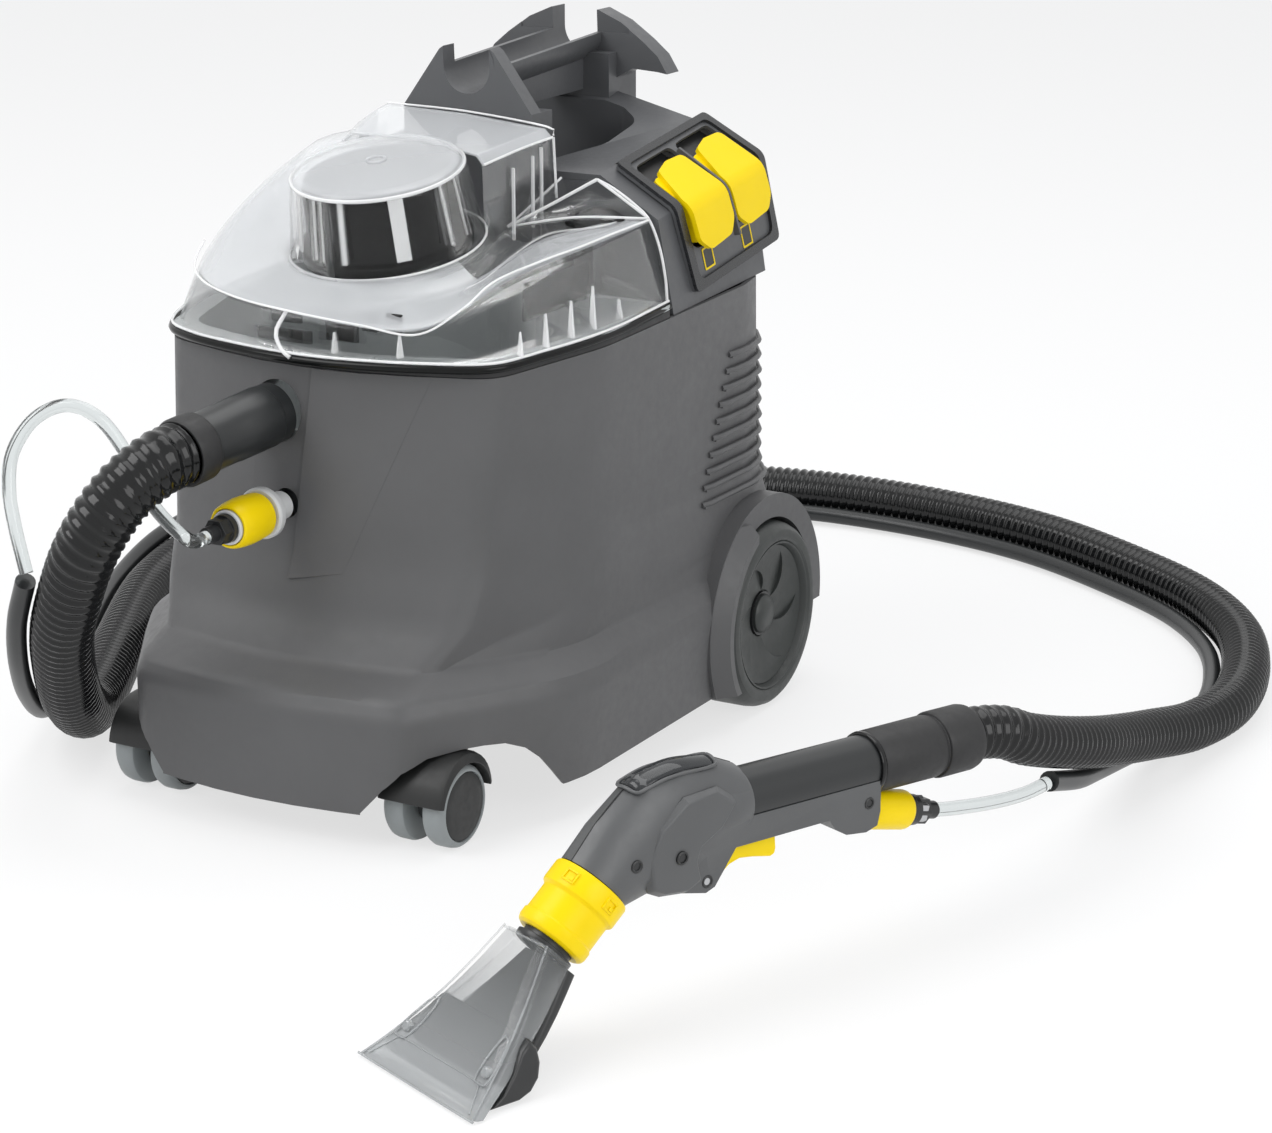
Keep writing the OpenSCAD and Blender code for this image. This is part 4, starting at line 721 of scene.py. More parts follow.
def ledgePull(co):
    x, y, z = inMm(co)
    low, peak, high = housingSet["low"], housingSet["ledge"], housingSet["high"]
    share = (z - low) / (peak - low) if z < peak else (high - z) / (high - peak)
    if share <= 0 or (y > housingSet["archY"] and abs(x) > housingSet["archX"]):
        return Vector((0, 0, 0))
    across = [math.copysign(abs(c / half) ** 5, c) for c, half in zip((x, y), housingSet["half"])]
    return Vector((*across, 0)).normalized() * -share * housingSet["pull"] * mm


for vert in housingBm.verts:
    vert.co += ledgePull(vert.co)
standIn("housingShell", housingBm, "lower_housing", housingAbs, sharp=34, bevel=0.8, limit=34)


# A copy of the housing's outer skin, cut to an outline and lifted, makes a raised panel that follows the wall
def skinPatch(cuts, keep, lift, sink=0.6):
    bm = mergedCopy("lower_housing")
    for place, normal in cuts:
        cutPlane(bm, spot(*place), normal, clear_outer=True)
    bm.normal_update()
    bmesh.ops.delete(bm, geom=[face for face in bm.faces if not keep(face)], context="FACES")
    lows = {vert: vert.normal.copy() for vert in bm.verts}
    raised = raiseSkin(bm)
    heading = {vert.co.to_tuple(6): normal for vert, normal in lows.items() if vert.is_valid}
    for vert in raised:
        vert.co += heading.get(vert.co.to_tuple(6), Vector((0, -1, 0))) * lift(vert.co) * mm
    for vert, normal in lows.items():
        if vert.is_valid:
            vert.co -= normal * sink * mm
    return bm


# Front panel: its left, right and lower edges as lines of (x, z) on the front wall, and its top
panelSet = {"left": ((-6, 143), (3.5, 247)), "right": ((29, 150), (79, 268)), "foot": ((-6, 143), (29, 150)),
            "top": 270, "front": -150, "rise": 1.6, "edge": 0.2}


# Plane through two points of the front wall, square to the front; the part on the given side goes
def frontCut(edge, side):
    a, b = panelSet[edge]
    along = Vector((b[0] - a[0], 0, b[1] - a[1])).normalized()
    return (a[0], panelSet["front"], a[1]), side * Vector((along.z, 0, -along.x))


def edgeAt(edge, z):
    a, b = panelSet[edge]
    return a[0] + (b[0] - a[0]) * (z - a[1]) / (b[1] - a[1])


# The panel stands out most along its left edge
def panelLift(co):
    left, right = (edgeAt(edge, co.z / mm) for edge in ("left", "right"))
    across = min(1, max(0, (co.x / mm - left) / (right - left)))
    return panelSet["rise"] * (1 - across) + panelSet["edge"]


frontCuts = [frontCut("left", -1), frontCut("right", 1), frontCut("foot", 1),
             ((0, panelSet["front"], panelSet["top"]), Vector((0, 0, 1)))]
patchBm = skinPatch(frontCuts, lambda face: face.normal.y < -0.6, panelLift)
makePiece("frontPanelRaised", patchBm, "machine", "body_grey", housingAbs, sharp=30, bevel=0.5)

# Inlet tube and the rubber cuff round its mouth
inletFrame = frameAt(-22, -152, 239, z=-7.5, x=96)
inletProfile = [(15, -8), (18, -8), (18, 1), (18.6, 1.6), (18.4, 30), (18.0, 31), (17.9, 62), (15.2, 62)]
standIn("inletTubeDark", spinProfile(inletProfile, inletFrame, 56), "inlet_elbow", tubePvc, sharp=30,
        bevel=0.3)
cuffProfile = [(18.1, 56), (19.6, 56), (20.4, 57), (20.5, 70), (19.6, 72), (18.1, 72)]
cuffPiece = standIn("machineCuffRubber", spinProfile(cuffProfile, inletFrame, 56), "machine_cuff", rubber,
                    sharp=30, bevel=0.4)
# Spray coupling of the machine: a sliding yellow sleeve with a pale face, on a pale socket
plugFrame = frameAt(-12, -165, 186.5, x=90)
sleeveProfile = [(8.8, 10.5), (12.6, 10.5), (13.5, 11.6), (14.2, 20), (14.4, 26), (14.0, 33), (13.2, 38.6),
                 (12.4, 40.2), (11, 40.4), (10.6, 38.5), (8.8, 38.5)]
standIn("machineSleeveYellow", spinProfile(sleeveProfile, plugFrame, 48), "machine_coupling_sleeve",
        yellowAbs, sharp=30, bevel=0.4)
faceRing = [(8.6, 38.6), (10.4, 38.6), (10.4, 41), (9.6, 41.8), (8.6, 41.8)]
makePiece("machineSleeveFace", spinProfile(faceRing, plugFrame, 48), bodyOf["machine_coupling_sleeve"],
          "body_grey", paleAbs, sharp=30, bevel=0.2)
socketProfile = [(4, -13), (8.5, -13), (8.5, 3), (14.6, 3), (15.4, 4.4), (15.4, 8), (14.4, 9.6), (4, 9.6)]
standIn("couplingSocketPale", spinProfile(socketProfile, plugFrame, 48), "coupling_socket", paleAbs, sharp=30,
        bevel=0.3)
print("housing, inlet and coupling made")

# Louvre ribs: rounded bars that wrap each rear corner, the higher ones from further back; angles in degrees
louvreSet = {"count": 10, "pitch": 10.0, "low": 148.6, "radius": 1.9, "from": 9, "fromStep": 1.45, "to": 50,
             "steps": 14, "reach": 400, "middle": 60}
wallBm = bmesh.new()
wallBm.from_mesh(nodes["lower_housing"].data)
bmesh.ops.transform(wallBm, matrix=nodes["lower_housing"].matrix_world, verts=wallBm.verts)
wallTree = BVHTree.FromBMesh(wallBm)
wallBm.free()


# Where a ray from outside, level and towards the machine's middle, meets the wall
def wallPoint(turn, z, sign):
    reach, middle = louvreSet["reach"], louvreSet["middle"]
    start = spot(sign * reach * math.cos(turn), middle + reach * math.sin(turn), z)
    return wallTree.ray_cast(start, spot(0, middle, z) - start)[0]


for side, sign in (("Right", 1), ("Left", -1)):
    for i in range(louvreSet["count"]):
        z = louvreSet["low"] + i * louvreSet["pitch"]
        first = math.radians(louvreSet["from"] + i * louvreSet["fromStep"])
        last, steps = math.radians(louvreSet["to"]), louvreSet["steps"]
        run = [wallPoint(first + (last - first) * k / steps, z, sign) for k in range(steps + 1)]
        edgeBead(f"louvreRib{side}{i}", [inMm(p) for p in run if p], louvreSet["radius"], housingAbs,
                 bodyOf["lower_housing"], "body_grey")
print("louvres made")


# Plates are drawn in an unrolled plane (along the shoulder, down over it) and bent over the shoulder's edge
def platePiece(loops, low, high, fold):
    bm = bmesh.new()
    edges = []
    for loop in loops:
        verts = [bm.verts.new((u, s, low)) for u, s in loop]
        edges += [bm.edges.new((verts[i - 1], verts[i])) for i in range(len(verts))]
    bmesh.ops.triangle_fill(bm, edges=edges, use_beauty=True)
    for vert in raiseSkin(bm):
        vert.co.z = high
    return bendPlate(bm, fold)


def bendPlate(bm, fold):
    for k in range(-3, 4):
        cutPlane(bm, (0, k * fold["arc"] / 6, 0), (0, 1, 0))
    above, below = (math.atan2(-d[1], d[0]) for d in (fold["above"], fold["below"]))
    radius = fold["arc"] / (below - above)

    def across(s):
        turn = above + (below - above) * min(1, max(0, s / fold["arc"] + 0.5))
        arcX = radius * (math.sin(turn) - math.sin((above + below) / 2))
        arcZ = radius * (math.cos(turn) - math.cos((above + below) / 2))
        past = s - min(fold["arc"] / 2, max(-fold["arc"] / 2, s))
        return arcX + past * math.cos(turn), arcZ - past * math.sin(turn), turn

    for vert in bm.verts:
        u, s, h = vert.co
        x, z, turn = across(s)
        vert.co = spot(fold["at"][0] + x + h * math.sin(turn), u, fold["at"][1] + z + h * math.cos(turn))
    bmesh.ops.transform(bm, matrix=shoulderFrame, verts=bm.verts)
    return bm


def roundedLoop(corners, steps=4):
    loop = []
    for i, (x, y, r) in enumerate(corners):
        corner = Vector((x, y))
        before = Vector(corners[i - 1][:2]) - corner
        after = Vector(corners[(i + 1) % len(corners)][:2]) - corner
        half = before.angle(after) / 2
        reach = min(r / math.tan(half), before.length * 0.49, after.length * 0.49)
        start, end = corner + before.normalized() * reach, corner + after.normalized() * reach
        for k in range(steps + 1):
            t = k / steps
            loop.append(tuple(start * (1 - t) ** 2 + corner * 2 * t * (1 - t) + end * t * t))
    return loop


# Switch panel: each fold's place (x, z from the shoulder's edge), its slopes above and below, its arc length
shoulderFrame = frameAt(128, 52, 334, x=math.degrees(math.atan(0.134)))
panelFold = {"at": (1.2, 1.6), "above": (0.857, -0.515), "below": (0.17, -0.985), "arc": 7.0}
rockerFold = {"at": (5.4, -2.0), "above": (0.836, -0.548), "below": (0.235, -0.972), "arc": 9.0}
rockerSet = {"starts": {"vacuum_rocker": 27, "spray_rocker": 78}, "width": 46, "thick": 3.4}
panelOuter = roundedLoop([(18, -46, 4), (133, -46, 4), (135, 0, 30), (133, 55, 5), (20, 55, 5), (16, 0, 30)])
windowLoops = [roundedLoop([(u - 0.6, -38, 9), (u + 46.6, -38, 4), (u + 46.6, 31, 14), (u - 0.6, 31, 14)])
               for u in rockerSet["starts"].values()]
makePiece("panelFace", platePiece([panelOuter] + windowLoops, -1.8, 0.5, panelFold), "machine",
          "dark_grey", deckAbs, "switch_panel", sharp=30, bevel=0.3)
rimInner = roundedLoop([(24.5, -41, 5), (127, -41, 5), (128.5, 0, 30), (126.5, 49, 7), (27, 49, 7),
                        (23.5, 0, 30)])
makePiece("panelRimBlack", platePiece([panelOuter, rimInner], 0.2, 2.6, panelFold), "machine",
          "panel_black", glossAbs, sharp=30, bevel=0.7)
dividerLoop = [(74.4, -38), (76.6, -38), (76.6, 31), (74.4, 31)]
makePiece("panelDivider", platePiece([dividerLoop], -1.5, 3.0, rockerFold), "machine", "body_grey",
          housingAbs, bevel=0.4)
floorLoop = [(25, -40), (126, -40), (126, 33), (25, 33)]
makePiece("panelWellBlack", platePiece([floorLoop], -7.5, -6.5, panelFold), "machine", "panel_black",
          blackAbs)
for node, u in rockerSet["starts"].items():
    w = rockerSet["width"]
    outline = roundedLoop([(u, -6, 12), (u + 9, -31, 6), (u + 24, -34.5, 10), (u + w - 3, -33, 5),
                           (u + w, 0, 20), (u + w, 18, 9), (u + w - 8, 27, 9), (u + 10, 28.5, 9), (u, 20, 6)])
    capBm = platePiece([outline], 0.2, rockerSet["thick"], rockerFold)
    standIn(node + "Cap", capBm, node, yellowAbs, sharp=30, bevel=1.3, segments=4)
    skirtLoop = roundedLoop([(u + 1.5, -29, 5), (u + w - 2, -29, 4), (u + w - 2, 22, 8), (u + 2, 22, 6)])
    makePiece(node + "Skirt", platePiece([skirtLoop], -7.0, 0.4, rockerFold), bodyOf[node], "yellow",
              yellowAbs, sharp=30, bevel=0.5)
# Bare marking plates below the switches: a thin yellow border on black
for i, (u, s) in enumerate(((44, 39), (95, 41))):
    outer, inner = (roundedLoop([(u + a * w, s + b * h, 1) for a, b in ((-1, -1), (1, -1), (1, 1), (-1, 1))])
                    for w, h in ((6.5, 7), (5.3, 5.8)))
    makePiece(f"markPlate{i}", platePiece([outer], 0.4, 0.75, panelFold), "machine", "panel_black",
              blackAbs)
    makePiece(f"markBorder{i}", platePiece([outer, inner], 0.7, 0.9, panelFold), "machine", "yellow",
              yellowAbs)
print("switches made")

# Hand tool: its place on the floor and its turn in degrees; along its length, across it and up
toolSet = {"x": 264, "y": -437, "turn": 67.2}
toolFrame = frameAt(toolSet["x"], toolSet["y"], 0, z=toolSet["turn"])
neckFrame = toolFrame @ frameAt(76.5, 0, 56, y=49)
gripFrame = toolFrame @ frameAt(192, 0, 104.5, y=91.3)
collarProfile = [(14.1, 0.2), (17.4, 0.2), (19.4, 1.4), (20.2, 3.6), (20.2, 7.4), (19.4, 8.6), (19.4, 22.6),
                 (20.3, 23.6), (21.3, 24.4), (21.5, 26), (21.5, 35.6), (20.8, 37), (14.1, 37)]
standIn("collarYellow", spinProfile(collarProfile, neckFrame, 72), "bayonet_collar", yellowAbs, sharp=30,
        bevel=0.5)
# Raised lock signs at four angles round the collar, each a frame of four bars with a block in it; every bar
# has its place across and along the sign, its width and its height
lockSet = {"radius": 21.4, "thick": 1.6, "along": 30.4, "angles": (-92, -162, 88, 18),
           "bars": [(-3.4, 0, 1.1, 6.6), (3.4, 0, 1.1, 6.6), (0, 2.8, 7.6, 1.1), (0, -2.8, 7.6, 1.1),
                    (1.4, -1.0, 2.6, 2.4)]}
lockBm = bmesh.new()


def lockShape(x, y, z):
    return (lockSet["radius"] + x * lockSet["thick"], y * wide + across, lockSet["along"] + along + z * high)


for lean in lockSet["angles"]:
    for across, along, wide, high in lockSet["bars"]:
        addBlock(lockBm, lockShape, neckFrame @ frameAt(0, 0, 0, z=lean))
makePiece("collarLocks", lockBm, bodyOf["bayonet_collar"], "yellow", yellowAbs, bevel=0.3)
cuffSteps = [(13.2, 97), (16.6, 97), (17.2, 98.4), (17.4, 140), (17.2, 141), (16.6, 141.4), (16.6, 143),
             (17.9, 143.4), (18.5, 145), (18.5, 166), (17.8, 169), (16, 170), (13.2, 170)]
standIn("toolCuffRubber", spinProfile(cuffSteps, gripFrame, 64), "tool_cuff", rubber, sharp=30, bevel=0.4)
ringBm = spinProfile([(15.6, 93.6), (17.0, 93.8), (17.3, 95), (17.0, 96.6), (15.6, 96.8)], gripFrame, 64)
makePiece("toolCuffRing", ringBm, bodyOf["tool_cuff"], "hose_black", hosePvc, bevel=0.3)


def toolPoint(s, y, z):
    return inMm(toolFrame @ spot(s, y, z))


# Rings of the tool's shell: place along the tool, height, slope in degrees, half width, half height
shellRings = [(104.5, 81, 41, 19.5, 20), (120, 90, 32, 19.5, 26), (140, 99, 14, 19, 34),
              (158, 101, 4, 19, 34.5), (176, 104, -4, 18, 28), (194, 104, -4, 17.5, 20)]


# A point of the shell's skin: how far along the rings, and the angle round from its right side
def shellSkin(along, turn, lift=0.0):
    i = min(len(shellRings) - 2, int(along))
    t = along - i
    s, z, slope, wide, high = (p + (q - p) * t for p, q in zip(shellRings[i], shellRings[i + 1]))
    side, up = (wide + lift) * math.cos(turn), (high + lift) * math.sin(turn)
    return toolPoint(s - up * math.sin(math.radians(slope)), side, z + up * math.cos(math.radians(slope)))


# A thin black line along the shell's crown paints the shade in the seam between its halves
seam = [shellSkin(k / 10, math.pi / 2, -0.05) for k in range(50)]
edgeBead("toolSeamPaintedShade", seam, 0.35, blackAbs, bodyOf["tool_shell_right"], "black_plastic", step=3)
# Sight window: a raised frame whose points go up one side and down the other, and dark glass inside it
windowSide = [(1.78, 22), (1.9, 28), (2.6, 30), (3.7, 30), (4.0, 24)]
frameTurns = [(a, -t) for a, t in windowSide] + [(4.06, 0)]
frameTurns += [(a, t) for a, t in windowSide[::-1]] + [(1.74, 0)]
frameLoop = [shellSkin(a, math.radians(90 + t), 0.6) for a, t in frameTurns]
edgeBead("windowFrame", frameLoop, 1.0, toolAbs, bodyOf["sight_window"], "body_grey", closed=True, step=2)
glassSet = {"from": 1.8, "length": 2.22, "half": 27, "lift": 0.35, "rows": 8, "columns": 8}
glassRows = [[shellSkin(glassSet["from"] + glassSet["length"] * i / glassSet["rows"],
                        math.radians(90 + glassSet["half"] * (2 * j / glassSet["columns"] - 1)),
                        glassSet["lift"])
              for j in range(glassSet["columns"] + 1)] for i in range(glassSet["rows"] + 1)]
shellPiece("sightGlassDark", loftSections(glassRows, closed=False), bodyOf["sight_window"],
           smokePc, 1, 1.0, "sight_window")

# Cheeks: a raised wedge on each side, between window and grip; its outer face shrinks towards a point
cheekSet = {"low": 15.5, "high": 20.6, "slope": 0.035, "ridge": 150, "point": (152, 96), "shrink": 0.12,
            "outline": [(126, 74), (124, 92), (132, 108), (150, 121), (172, 122), (186, 112), (176, 100),
                        (160, 92), (157, 84), (160, 72), (150, 68), (134, 70)]}
# Screw wells of each side: place along the tool, height, distance out, radius
holeSet = [(118, 92, 19.4, 3.0), (146, 90, 20.9, 3.2), (278, 86, 15.2, 2.8), (167, 70, 15.2, 3.0)]
midS, midZ = cheekSet["point"]
for side, sign in (("Right", -1), ("Left", 1)):
    low = [toolPoint(s, sign * cheekSet["low"], z) for s, z in cheekSet["outline"]]
    high = [toolPoint(s + (midS - s) * cheekSet["shrink"],
                      sign * (cheekSet["high"] - abs(s - cheekSet["ridge"]) * cheekSet["slope"]),
                      z + (midZ - z) * cheekSet["shrink"]) for s, z in cheekSet["outline"]]
    makePiece(f"toolCheek{side}", loftSections([low, high]), bodyOf["tool_shell_right"], "body_grey", toolAbs,
              sharp=24, bevel=1.2, segments=3)
    for i, (s, z, out, radius) in enumerate(holeSet):
        profile = [(0, -0.6), (radius - 0.8, -0.6), (radius - 0.6, 0.1), (radius, 0.35), (radius + 0.5, 0.1),
                   (radius + 0.6, -1.6), (0, -1.6)]
        well = spinProfile(profile, toolFrame @ frameAt(s, sign * out, z, x=-sign * 90), 28, closed=False)
        makePiece(f"toolWell{side}{i}", well, bodyOf["tool_shell_right"], "black_plastic", blackAbs, sharp=40)

# Nozzle: a clear fan over a dark foot; at a share t of the way up, each pair runs from the mouth to the neck
fanSet = {"along": (-1.0, 71.0), "height": (1.2, 55.7), "bow": (3.0, -2.5), "lean": (8, 46),
          "half": (49.0, 18.0), "narrowing": 0.94, "deep": (4.6, 12.0), "sides": 32, "square": (0.4, 0.45)}


# The fan's middle line: along, height, lean in radians, half width, half depth
def fanLine(t):
    s, z, lean, deep = (fanSet[key][0] + (fanSet[key][1] - fanSet[key][0]) * t
                        for key in ("along", "height", "lean", "deep"))
    bow = math.sin(math.pi * t)
    mouth, neck = fanSet["half"]
    half = mouth + (neck - mouth) * t ** fanSet["narrowing"]
    return s + fanSet["bow"][0] * bow, z + fanSet["bow"][1] * bow, math.radians(lean), half, deep


# A squarish ring round that line, grown and moved behind it by millimetres
def fanRing(t, grow=0.0, behind=0.0, deepAdd=0.0):
    s, z, lean, half, deep = fanLine(t)
    s, z = s + behind * math.cos(lean), z - behind * math.sin(lean)
    wideCurve, deepCurve = fanSet["square"]
    ring = []
    for k in range(fanSet["sides"]):
        a = 2 * math.pi * (k + 0.5) / fanSet["sides"]
        y = (half + grow) * math.copysign(abs(math.cos(a)) ** wideCurve, math.cos(a))
        d = (deep + grow + deepAdd) * math.copysign(abs(math.sin(a)) ** deepCurve, math.sin(a))
        ring.append(toolPoint(s - d * math.cos(lean), y, z + d * math.sin(lean)))
    return ring


# A point on the fan's front skin: t up the fan, side from -1 to 1
def fanFront(t, side, lift=0.0):
    s, z, lean, half, deep = fanLine(t)
    return toolPoint(s - (deep + lift) * math.cos(lean), side * half, z + (deep + lift) * math.sin(lean))


def nozzleBead(name, points, radius, closed=False):
    edgeBead(name, points, radius, nozzlePc, bodyOf["clear_nozzle"], closed=closed)


fanSections = [fanRing(t) for t in (0, 0.06, 0.14, 0.24, 0.36, 0.5, 0.64, 0.78, 0.9, 1.0)]
standIn("nozzleFanClear", loftSections(fanSections), "clear_nozzle", nozzlePc, sharp=40)
for side, sign in (("Right", -1), ("Left", 1)):
    nozzleBead(f"nozzleEdge{side}", [fanFront(k / 10, sign * 0.97, -0.6) for k in range(11)], 0.6)
    inner = [fanFront(t, sign * w) for t, w in ((0.03, 0.9), (0.14, 0.84), (0.2, 0.8))]
    nozzleBead(f"nozzleInner{side}", inner, 0.5)
    loop = [fanFront(t, sign * w, 0.3) for t, w in ((0.2, 0.72), (0.2, 0.9), (0.27, 0.95), (0.38, 0.97),
                                                    (0.47, 0.95), (0.49, 0.84), (0.42, 0.76), (0.3, 0.7))]
    nozzleBead(f"nozzleLoop{side}", loop, 0.6, closed=True)
    bossFrame = frameAt(*fanFront(0.27, sign * 0.84, 0.8), z=toolSet["turn"], y=-72)
    boss = spinProfile([(0, 1.6), (2.2, 1.5), (3.0, 0.8), (3.2, -1.6), (0, -1.6)], bossFrame, 28,
                       closed=False)
    makePiece(f"nozzleBoss{side}", boss, bodyOf["clear_nozzle"], "clear_plastic", nozzlePc)
nozzleBead("nozzleMouthBead", [fanFront(0.0, w / 10, 0.0) for w in range(-10, 11)], 0.7)
nozzleBead("nozzleShelfBead", [fanFront(0.2, w / 10, 0.0) for w in range(-8, 9)], 0.55)
nozzleBead("nozzleTopBead", [fanFront(0.985, w / 10, 0.2) for w in range(-9, 10)], 0.7)

# Foot: a slab behind the fan, its neck ring, and a rounded heel that shrinks at both ends
slab = loftSections([fanRing(t, grow=-1.0, behind=9 + 3 * t, deepAdd=-1.0 - 5 * t)
                     for t in (0.3, 0.4, 0.55, 0.7, 0.85, 0.97)])
standIn("nozzleSlab", slab, "nozzle_base", blackAbs, sharp=40)
heelSet = {"mid": (25, 12), "narrowing": 170,
           "line": [(7, 1.2), (26, 1.2), (34, 3.6), (40, 9), (42.5, 16), (42, 23), (38.5, 27.5), (33, 24),
                    (25, 14), (16, 6)],
           "stations": [(-45, 0.86), (-43.5, 0.96), (-41, 1.0), (-20, 1.0), (0, 1.0), (20, 1.0), (41, 1.0),
                        (43.5, 0.96), (45, 0.86)]}
midS, midZ = heelSet["mid"]
heelRows = [[toolPoint(midS + (s - midS) * shrink, y * (1 - z / heelSet["narrowing"]),
                       midZ + (z - midZ) * shrink)
             for s, z in heelSet["line"]] for y, shrink in heelSet["stations"]]
makePiece("nozzleHeel", loftSections(heelRows), bodyOf["nozzle_base"], "black_plastic", blackAbs, sharp=38,
          bevel=1.2, segments=3)
neckRing = spinProfile([(11.6, -6), (15.4, -6), (16.2, -4.6), (16.2, -2.6), (14.0, -2.0), (14.0, 38),
                        (11.6, 38)],
                       neckFrame, 56)
makePiece("nozzleNeckRing", neckRing, bodyOf["nozzle_base"], "black_plastic", blackAbs, sharp=30)
# The shell's rear mouth closes round the grip tube
saddle = spinProfile([(15.8, -17), (18.2, -17), (19.0, -12), (18.4, -4), (17.6, 3), (16.6, 5), (15.8, 5)],
                     gripFrame, 56)
makePiece("toolShellSaddle", saddle, bodyOf["tool_shell_right"], "body_grey", toolAbs, sharp=40)
# Trigger: a curved lever that shows below the keel in front of its pivot
triggerLine = [(165, 65), (169, 63.2), (175, 63.4), (181, 66.5), (188, 71.5), (195, 73.2), (204, 71.8),
               (216, 69), (219, 70), (219.6, 73), (219, 81.4), (190, 81.4), (175, 78.4), (167, 75)]
triggerHalf = 7.6
trigger = loftSections([[toolPoint(s, y, z) for s, z in triggerLine] for y in (-triggerHalf, triggerHalf)])
standIn("triggerYellow", trigger, "spray_trigger", yellowAbs, sharp=30, bevel=1.2, segments=3)
# Quick coupling at the ear: a square-shouldered sleeve, a black ring and a plated hex nut
earFrame = toolFrame @ frameAt(288.6, 0, 75.6, y=104)
sleeveLine = [(9.4, -1), (10.0, -0.8), (10.8, 0.4), (11.0, 2), (11.0, 26.6), (10.7, 28), (10.1, 28.8),
              (9.4, 29)]
standIn("toolSleeveYellow", spinProfile(sleeveLine, earFrame, 48), "tool_coupling_sleeve", yellowAbs,
        sharp=30)
nutBm = spinProfile([(4.4, 32.4), (7.6, 32.4), (8.4, 33.2), (8.4, 41), (7.6, 41.8), (4.4, 41.8)], earFrame, 6)
makePiece("toolHexNutSteel", nutBm, bodyOf["tool_coupling_plug"], "steel", steelMetal, sharp=30, bevel=0.4)
ringBlack = spinProfile([(4.4, 26), (9.0, 26), (9.1, 26.4), (9.1, 31.8), (8.6, 32.6), (4.4, 32.6)], earFrame,
                        40)
makePiece("toolCouplingRing", ringBlack, bodyOf["tool_coupling_plug"], "black_plastic", blackAbs, sharp=30)
print("hand tool made")

# Rear wheels: radius, outer face, width, axle and hub cap in millimetres; the dish between cap and tread has
# curved blades, each of which climbs along its sweep and ends in a step
wheelSet = {"radius": 61.5, "out": 165.0, "width": 39.0, "axleY": 146.0, "cap": 12.6, "blades": 6,
            "climb": 2.6, "sweep": 0.7, "rows": 9, "columns": 12, "inner": 15.5, "rimIn": 15.8,
            "dishLow": 11.5, "dishHigh": 5.6}


# A point of the dish: row from the cap out to the rim, angle, and how far up the blade's climb
def bladePoint(row, turn, lift):
    share = row / wheelSet["rows"]
    low, high = (wheelSet["out"] - wheelSet[key] for key in ("dishLow", "dishHigh"))
    r = wheelSet["inner"] + (wheelSet["radius"] - wheelSet["rimIn"] - wheelSet["inner"]) * share
    angle = turn + wheelSet["sweep"] * share ** 1.5
    rise = lift * wheelSet["climb"] * math.sin(math.pi * min(1, share * 1.15)) ** 0.7
    return spot(r * math.cos(angle), r * math.sin(angle), low + (high - low) * share ** 2.2 + rise)


def bladeDish(bm):
    rows, columns, span = wheelSet["rows"], wheelSet["columns"], 2 * math.pi / wheelSet["blades"]
    for blade in range(wheelSet["blades"]):
        grid = [[bm.verts.new(bladePoint(row, span * (blade + c / columns), (c / columns) ** 2))
                 for c in range(columns + 1)] for row in range(rows + 1)]
        foot = [bm.verts.new(bladePoint(row, span * (blade + 1), 0)) for row in range(rows + 1)]
        for a, b, footA, footB in zip(grid, grid[1:], foot, foot[1:]):
            for c in range(columns):
                bm.faces.new((a[c], b[c], b[c + 1], a[c + 1]))
            bm.faces.new((a[-1], b[-1], footB, footA))


for side, sign in (("right", 1), ("left", -1)):
    r, out, back, cap = (wheelSet["radius"], wheelSet["out"], wheelSet["out"] - wheelSet["width"],
                         wheelSet["cap"])
    place = frameAt(0, wheelSet["axleY"], r, y=sign * 90)
    tread = [(r - 16, out - 9), (r - 14.6, out - 2.4), (r - 13.8, out - 1.4), (r - 13, out - 1.2),
             (r - 12.6, out - 2), (r - 12, out - 1.2), (r - 11, out - 0.4), (r - 8, out), (r - 5, out - 0.7),
             (r - 2.4, out - 3), (r - 0.7, out - 7), (r, out - 12), (r, back + 6), (r - 1, back + 2),
             (r - 3, back), (r - 10, back), (r - 12, back + 3), (r - 14, back + 14), (21, back + 12),
             (20, back), (6.4, back), (6.4, out - 13), (16, out - 13), (16, out - 15), (44, out - 15)]
    bm = spinProfile(tread, Matrix.Identity(4), 80)
    bladeDish(bm)
    bmesh.ops.transform(bm, matrix=place, verts=bm.verts)
    wheel, hub = f"rear_wheel_{side}", f"hub_cap_{side}"
    standIn(wheel + "Tyre", bm, wheel, wheelTpe, sharp=28)
    capProfile = [(0, out - 5.5), (cap - 5, out - 5.8), (cap - 1.2, out - 7.4), (cap, out - 9.0),
                  (cap, out - 12.8), (0, out - 12.8)]
    standIn(hub + "Disc", spinProfile(capProfile, place, 48, closed=False), hub, wheelTpe)
    # A black ring in the groove round each hub cap paints the groove's shade
    groove = [(cap + 0.2, out - 12.9), (cap + 0.2, out - 10.6), (cap + 1.9, out - 10.4),
              (cap + 1.9, out - 12.9)]
    makePiece(f"hubGroovePaintedShade_{side}", spinProfile(groove, place, 48), bodyOf[wheel], "black_plastic", blackAbs)

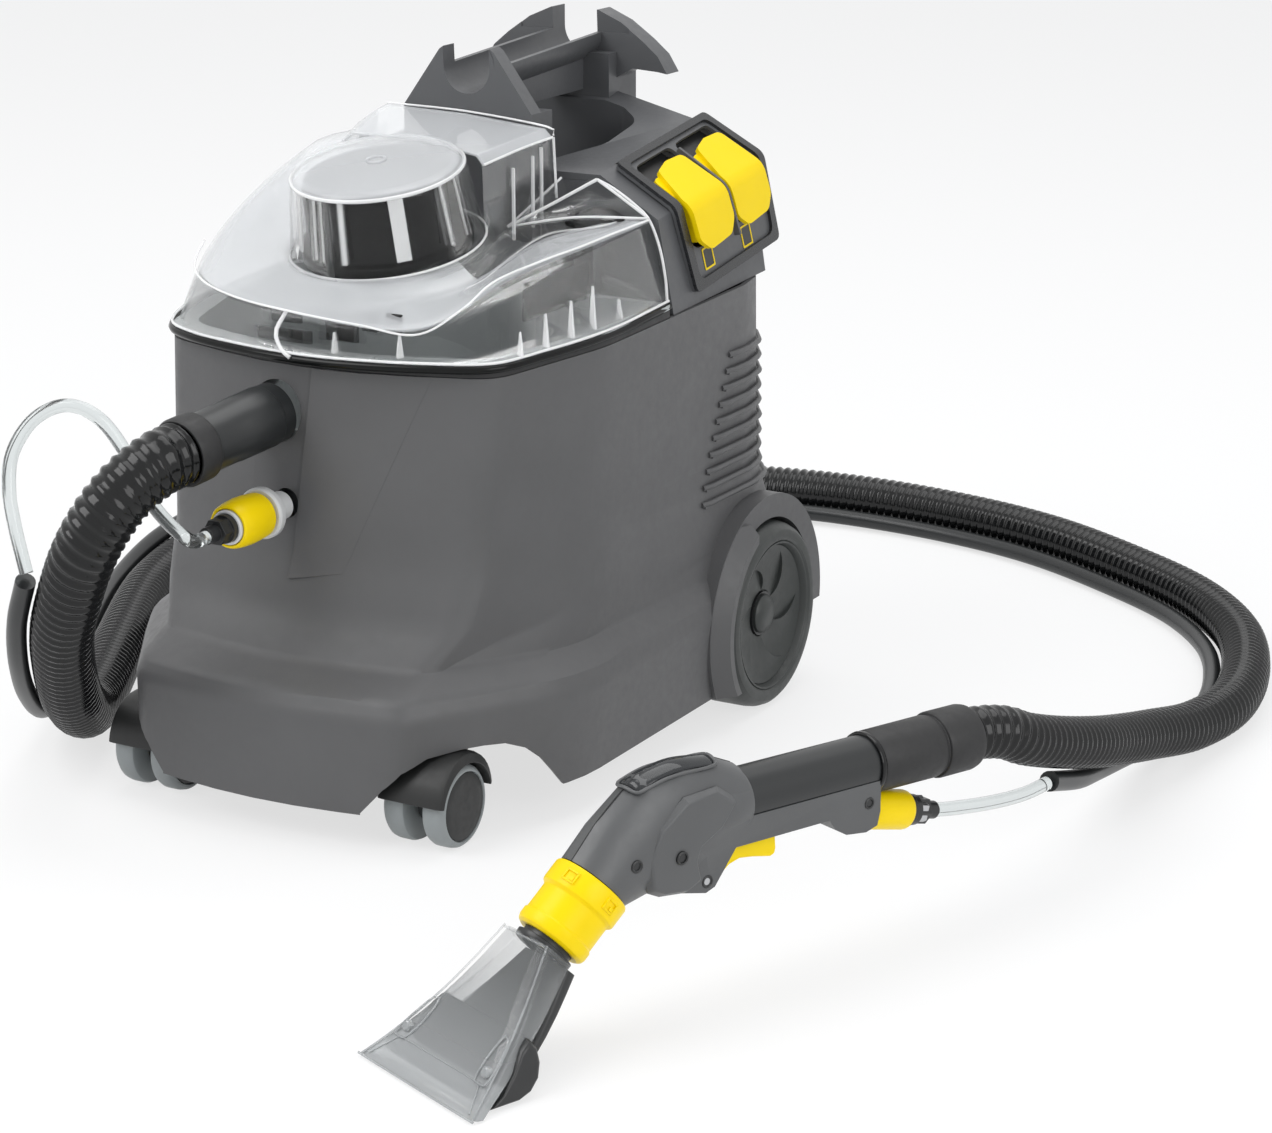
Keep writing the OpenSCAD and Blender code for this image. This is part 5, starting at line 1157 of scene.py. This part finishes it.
# Casters: two wheels a side under one hood, which arches over them with a rounded brow and a short tail
casterSet = {"radius": 25.0, "x": 97.0, "y": -162.0}
hoodSet = {"steps": 20, "half": 23.0, "from": 14, "sweep": 171, "reach": 29.5, "brow": 3.5, "inside": 26.4,
           "lip": 26.2, "lowest": 30}
casterTread = [(3.2, 6), (22, 6), (24, 6.8), (25, 9), (25, 16), (24.4, 18.6), (22.8, 20.4), (22.0, 20.9),
               (21.2, 20.9), (20.8, 20.2), (20.7, 19.2), (3.2, 19.2)]
casterDisc = [(0, 20.9), (15, 20.8), (19.6, 20.6), (20.4, 20.2), (20.6, 18.4), (0, 18.4)]
for side, sign in (("right", 1), ("left", -1)):
    casterX, casterY, r = sign * casterSet["x"], casterSet["y"], casterSet["radius"]
    for place, turn in (("outer", 1), ("inner", -1)):
        node = f"caster_wheel_{side}_{place}"
        wheelFrame = frameAt(casterX, casterY, r, y=sign * turn * 90)
        standIn(node + "Tyre", spinProfile(casterTread, wheelFrame, 56, closed=False), node, casterTpe)
        makePiece(node + "Disc", spinProfile(casterDisc, wheelFrame, 56, closed=False), bodyOf[node],
                  "black_plastic", discAbs)
    rows = []
    for k in range(hoodSet["steps"] + 1):
        angle = math.radians(hoodSet["from"] + hoodSet["sweep"] * k / hoodSet["steps"])
        reach = hoodSet["reach"] + hoodSet["brow"] * math.sin(math.pi * k / hoodSet["steps"])
        half, inside, lip = hoodSet["half"], hoodSet["inside"], hoodSet["lip"]
        ends = [(-half, inside), (-half + 1.5, reach - 1), (-half + 5, reach), (half - 5, reach),
                (half - 1.5, reach - 1), (half, inside), (half - 2, lip), (-half + 2, lip)]
        rows.append([(casterX + x, casterY - d * math.cos(angle), r + d * math.sin(angle)) for x, d in ends])
    fork = f"caster_fork_{side}"
    makePiece(fork + "Hood", loftSections([row for row in rows if row[3][2] > hoodSet["lowest"]]),
              bodyOf[fork], slotOf[fork], discAbs, sharp=40, bevel=0.6)
print("wheels and casters made")

# The remaining nodes keep their CAD shape: its flat faces are joined and its edges rounded by millimetres
plainParts = {
    "base_plate": (blackAbs, 0.6), "rear_deck": (deckAbs, 1.6), "carry_handle": (deckAbs, 1.8),
    "fresh_water_tank": (paleAbs, 1.0), "turbine_housing": (blackAbs, 0.8),
    "turbine_rotor": (rotorMetal, 0.3), "spray_pump": (blackAbs, 1.0), "cable_gland": (blackAbs, 0.5),
    "suction_duct": (blackAbs, 0.5), "rear_axle": (steelMetal, 0.5), "switch_pin": (steelMetal, 0.2),
    "caster_sockets": (blackAbs, 0.5), "base_screws": (steelMetal, 0.3), "dirty_water_tank": (tankShadedAbs, 0.6),
    "tank_seal": (rubber, 0.6), "float_cup": (paleAbs, 0.8), "caster_fork_right": (blackAbs, 0.6),
    "caster_fork_left": (blackAbs, 0.6), "caster_axle_right": (steelMetal, 0.3),
    "caster_axle_left": (steelMetal, 0.3), "machine_coupling_plug": (blackAbs, 0.4),
    "tool_shell_right": (toolAbs, 0.8), "tool_shell_left": (toolAbs, 0.8), "grip_tube": (tubePvc, 0.5),
    "spray_jet": (brassMetal, 0.3), "trigger_pin": (steelMetal, 0.2), "valve_body": (blackAbs, 0.4),
    "valve_plunger": (steelMetal, 0.2), "tool_screws": (blackAbs, 0.3), "tool_coupling_plug": (blackAbs, 0.4)}
plainSharp = 32
for node, (material, bevel) in plainParts.items():
    bm = mergedCopy(node)
    joinFlatFaces(bm)
    markSharp(bm, plainSharp)
    piece = placePiece(node + "Dressed", bm, bodyOf[node], material, node)
    soften(piece, bevel, limit=plainSharp)
print("plain parts dressed")

for piece, route, points, width, stiffness in cordList:
    print(piece.name, "is", round(runLength(points), 3), "m long")
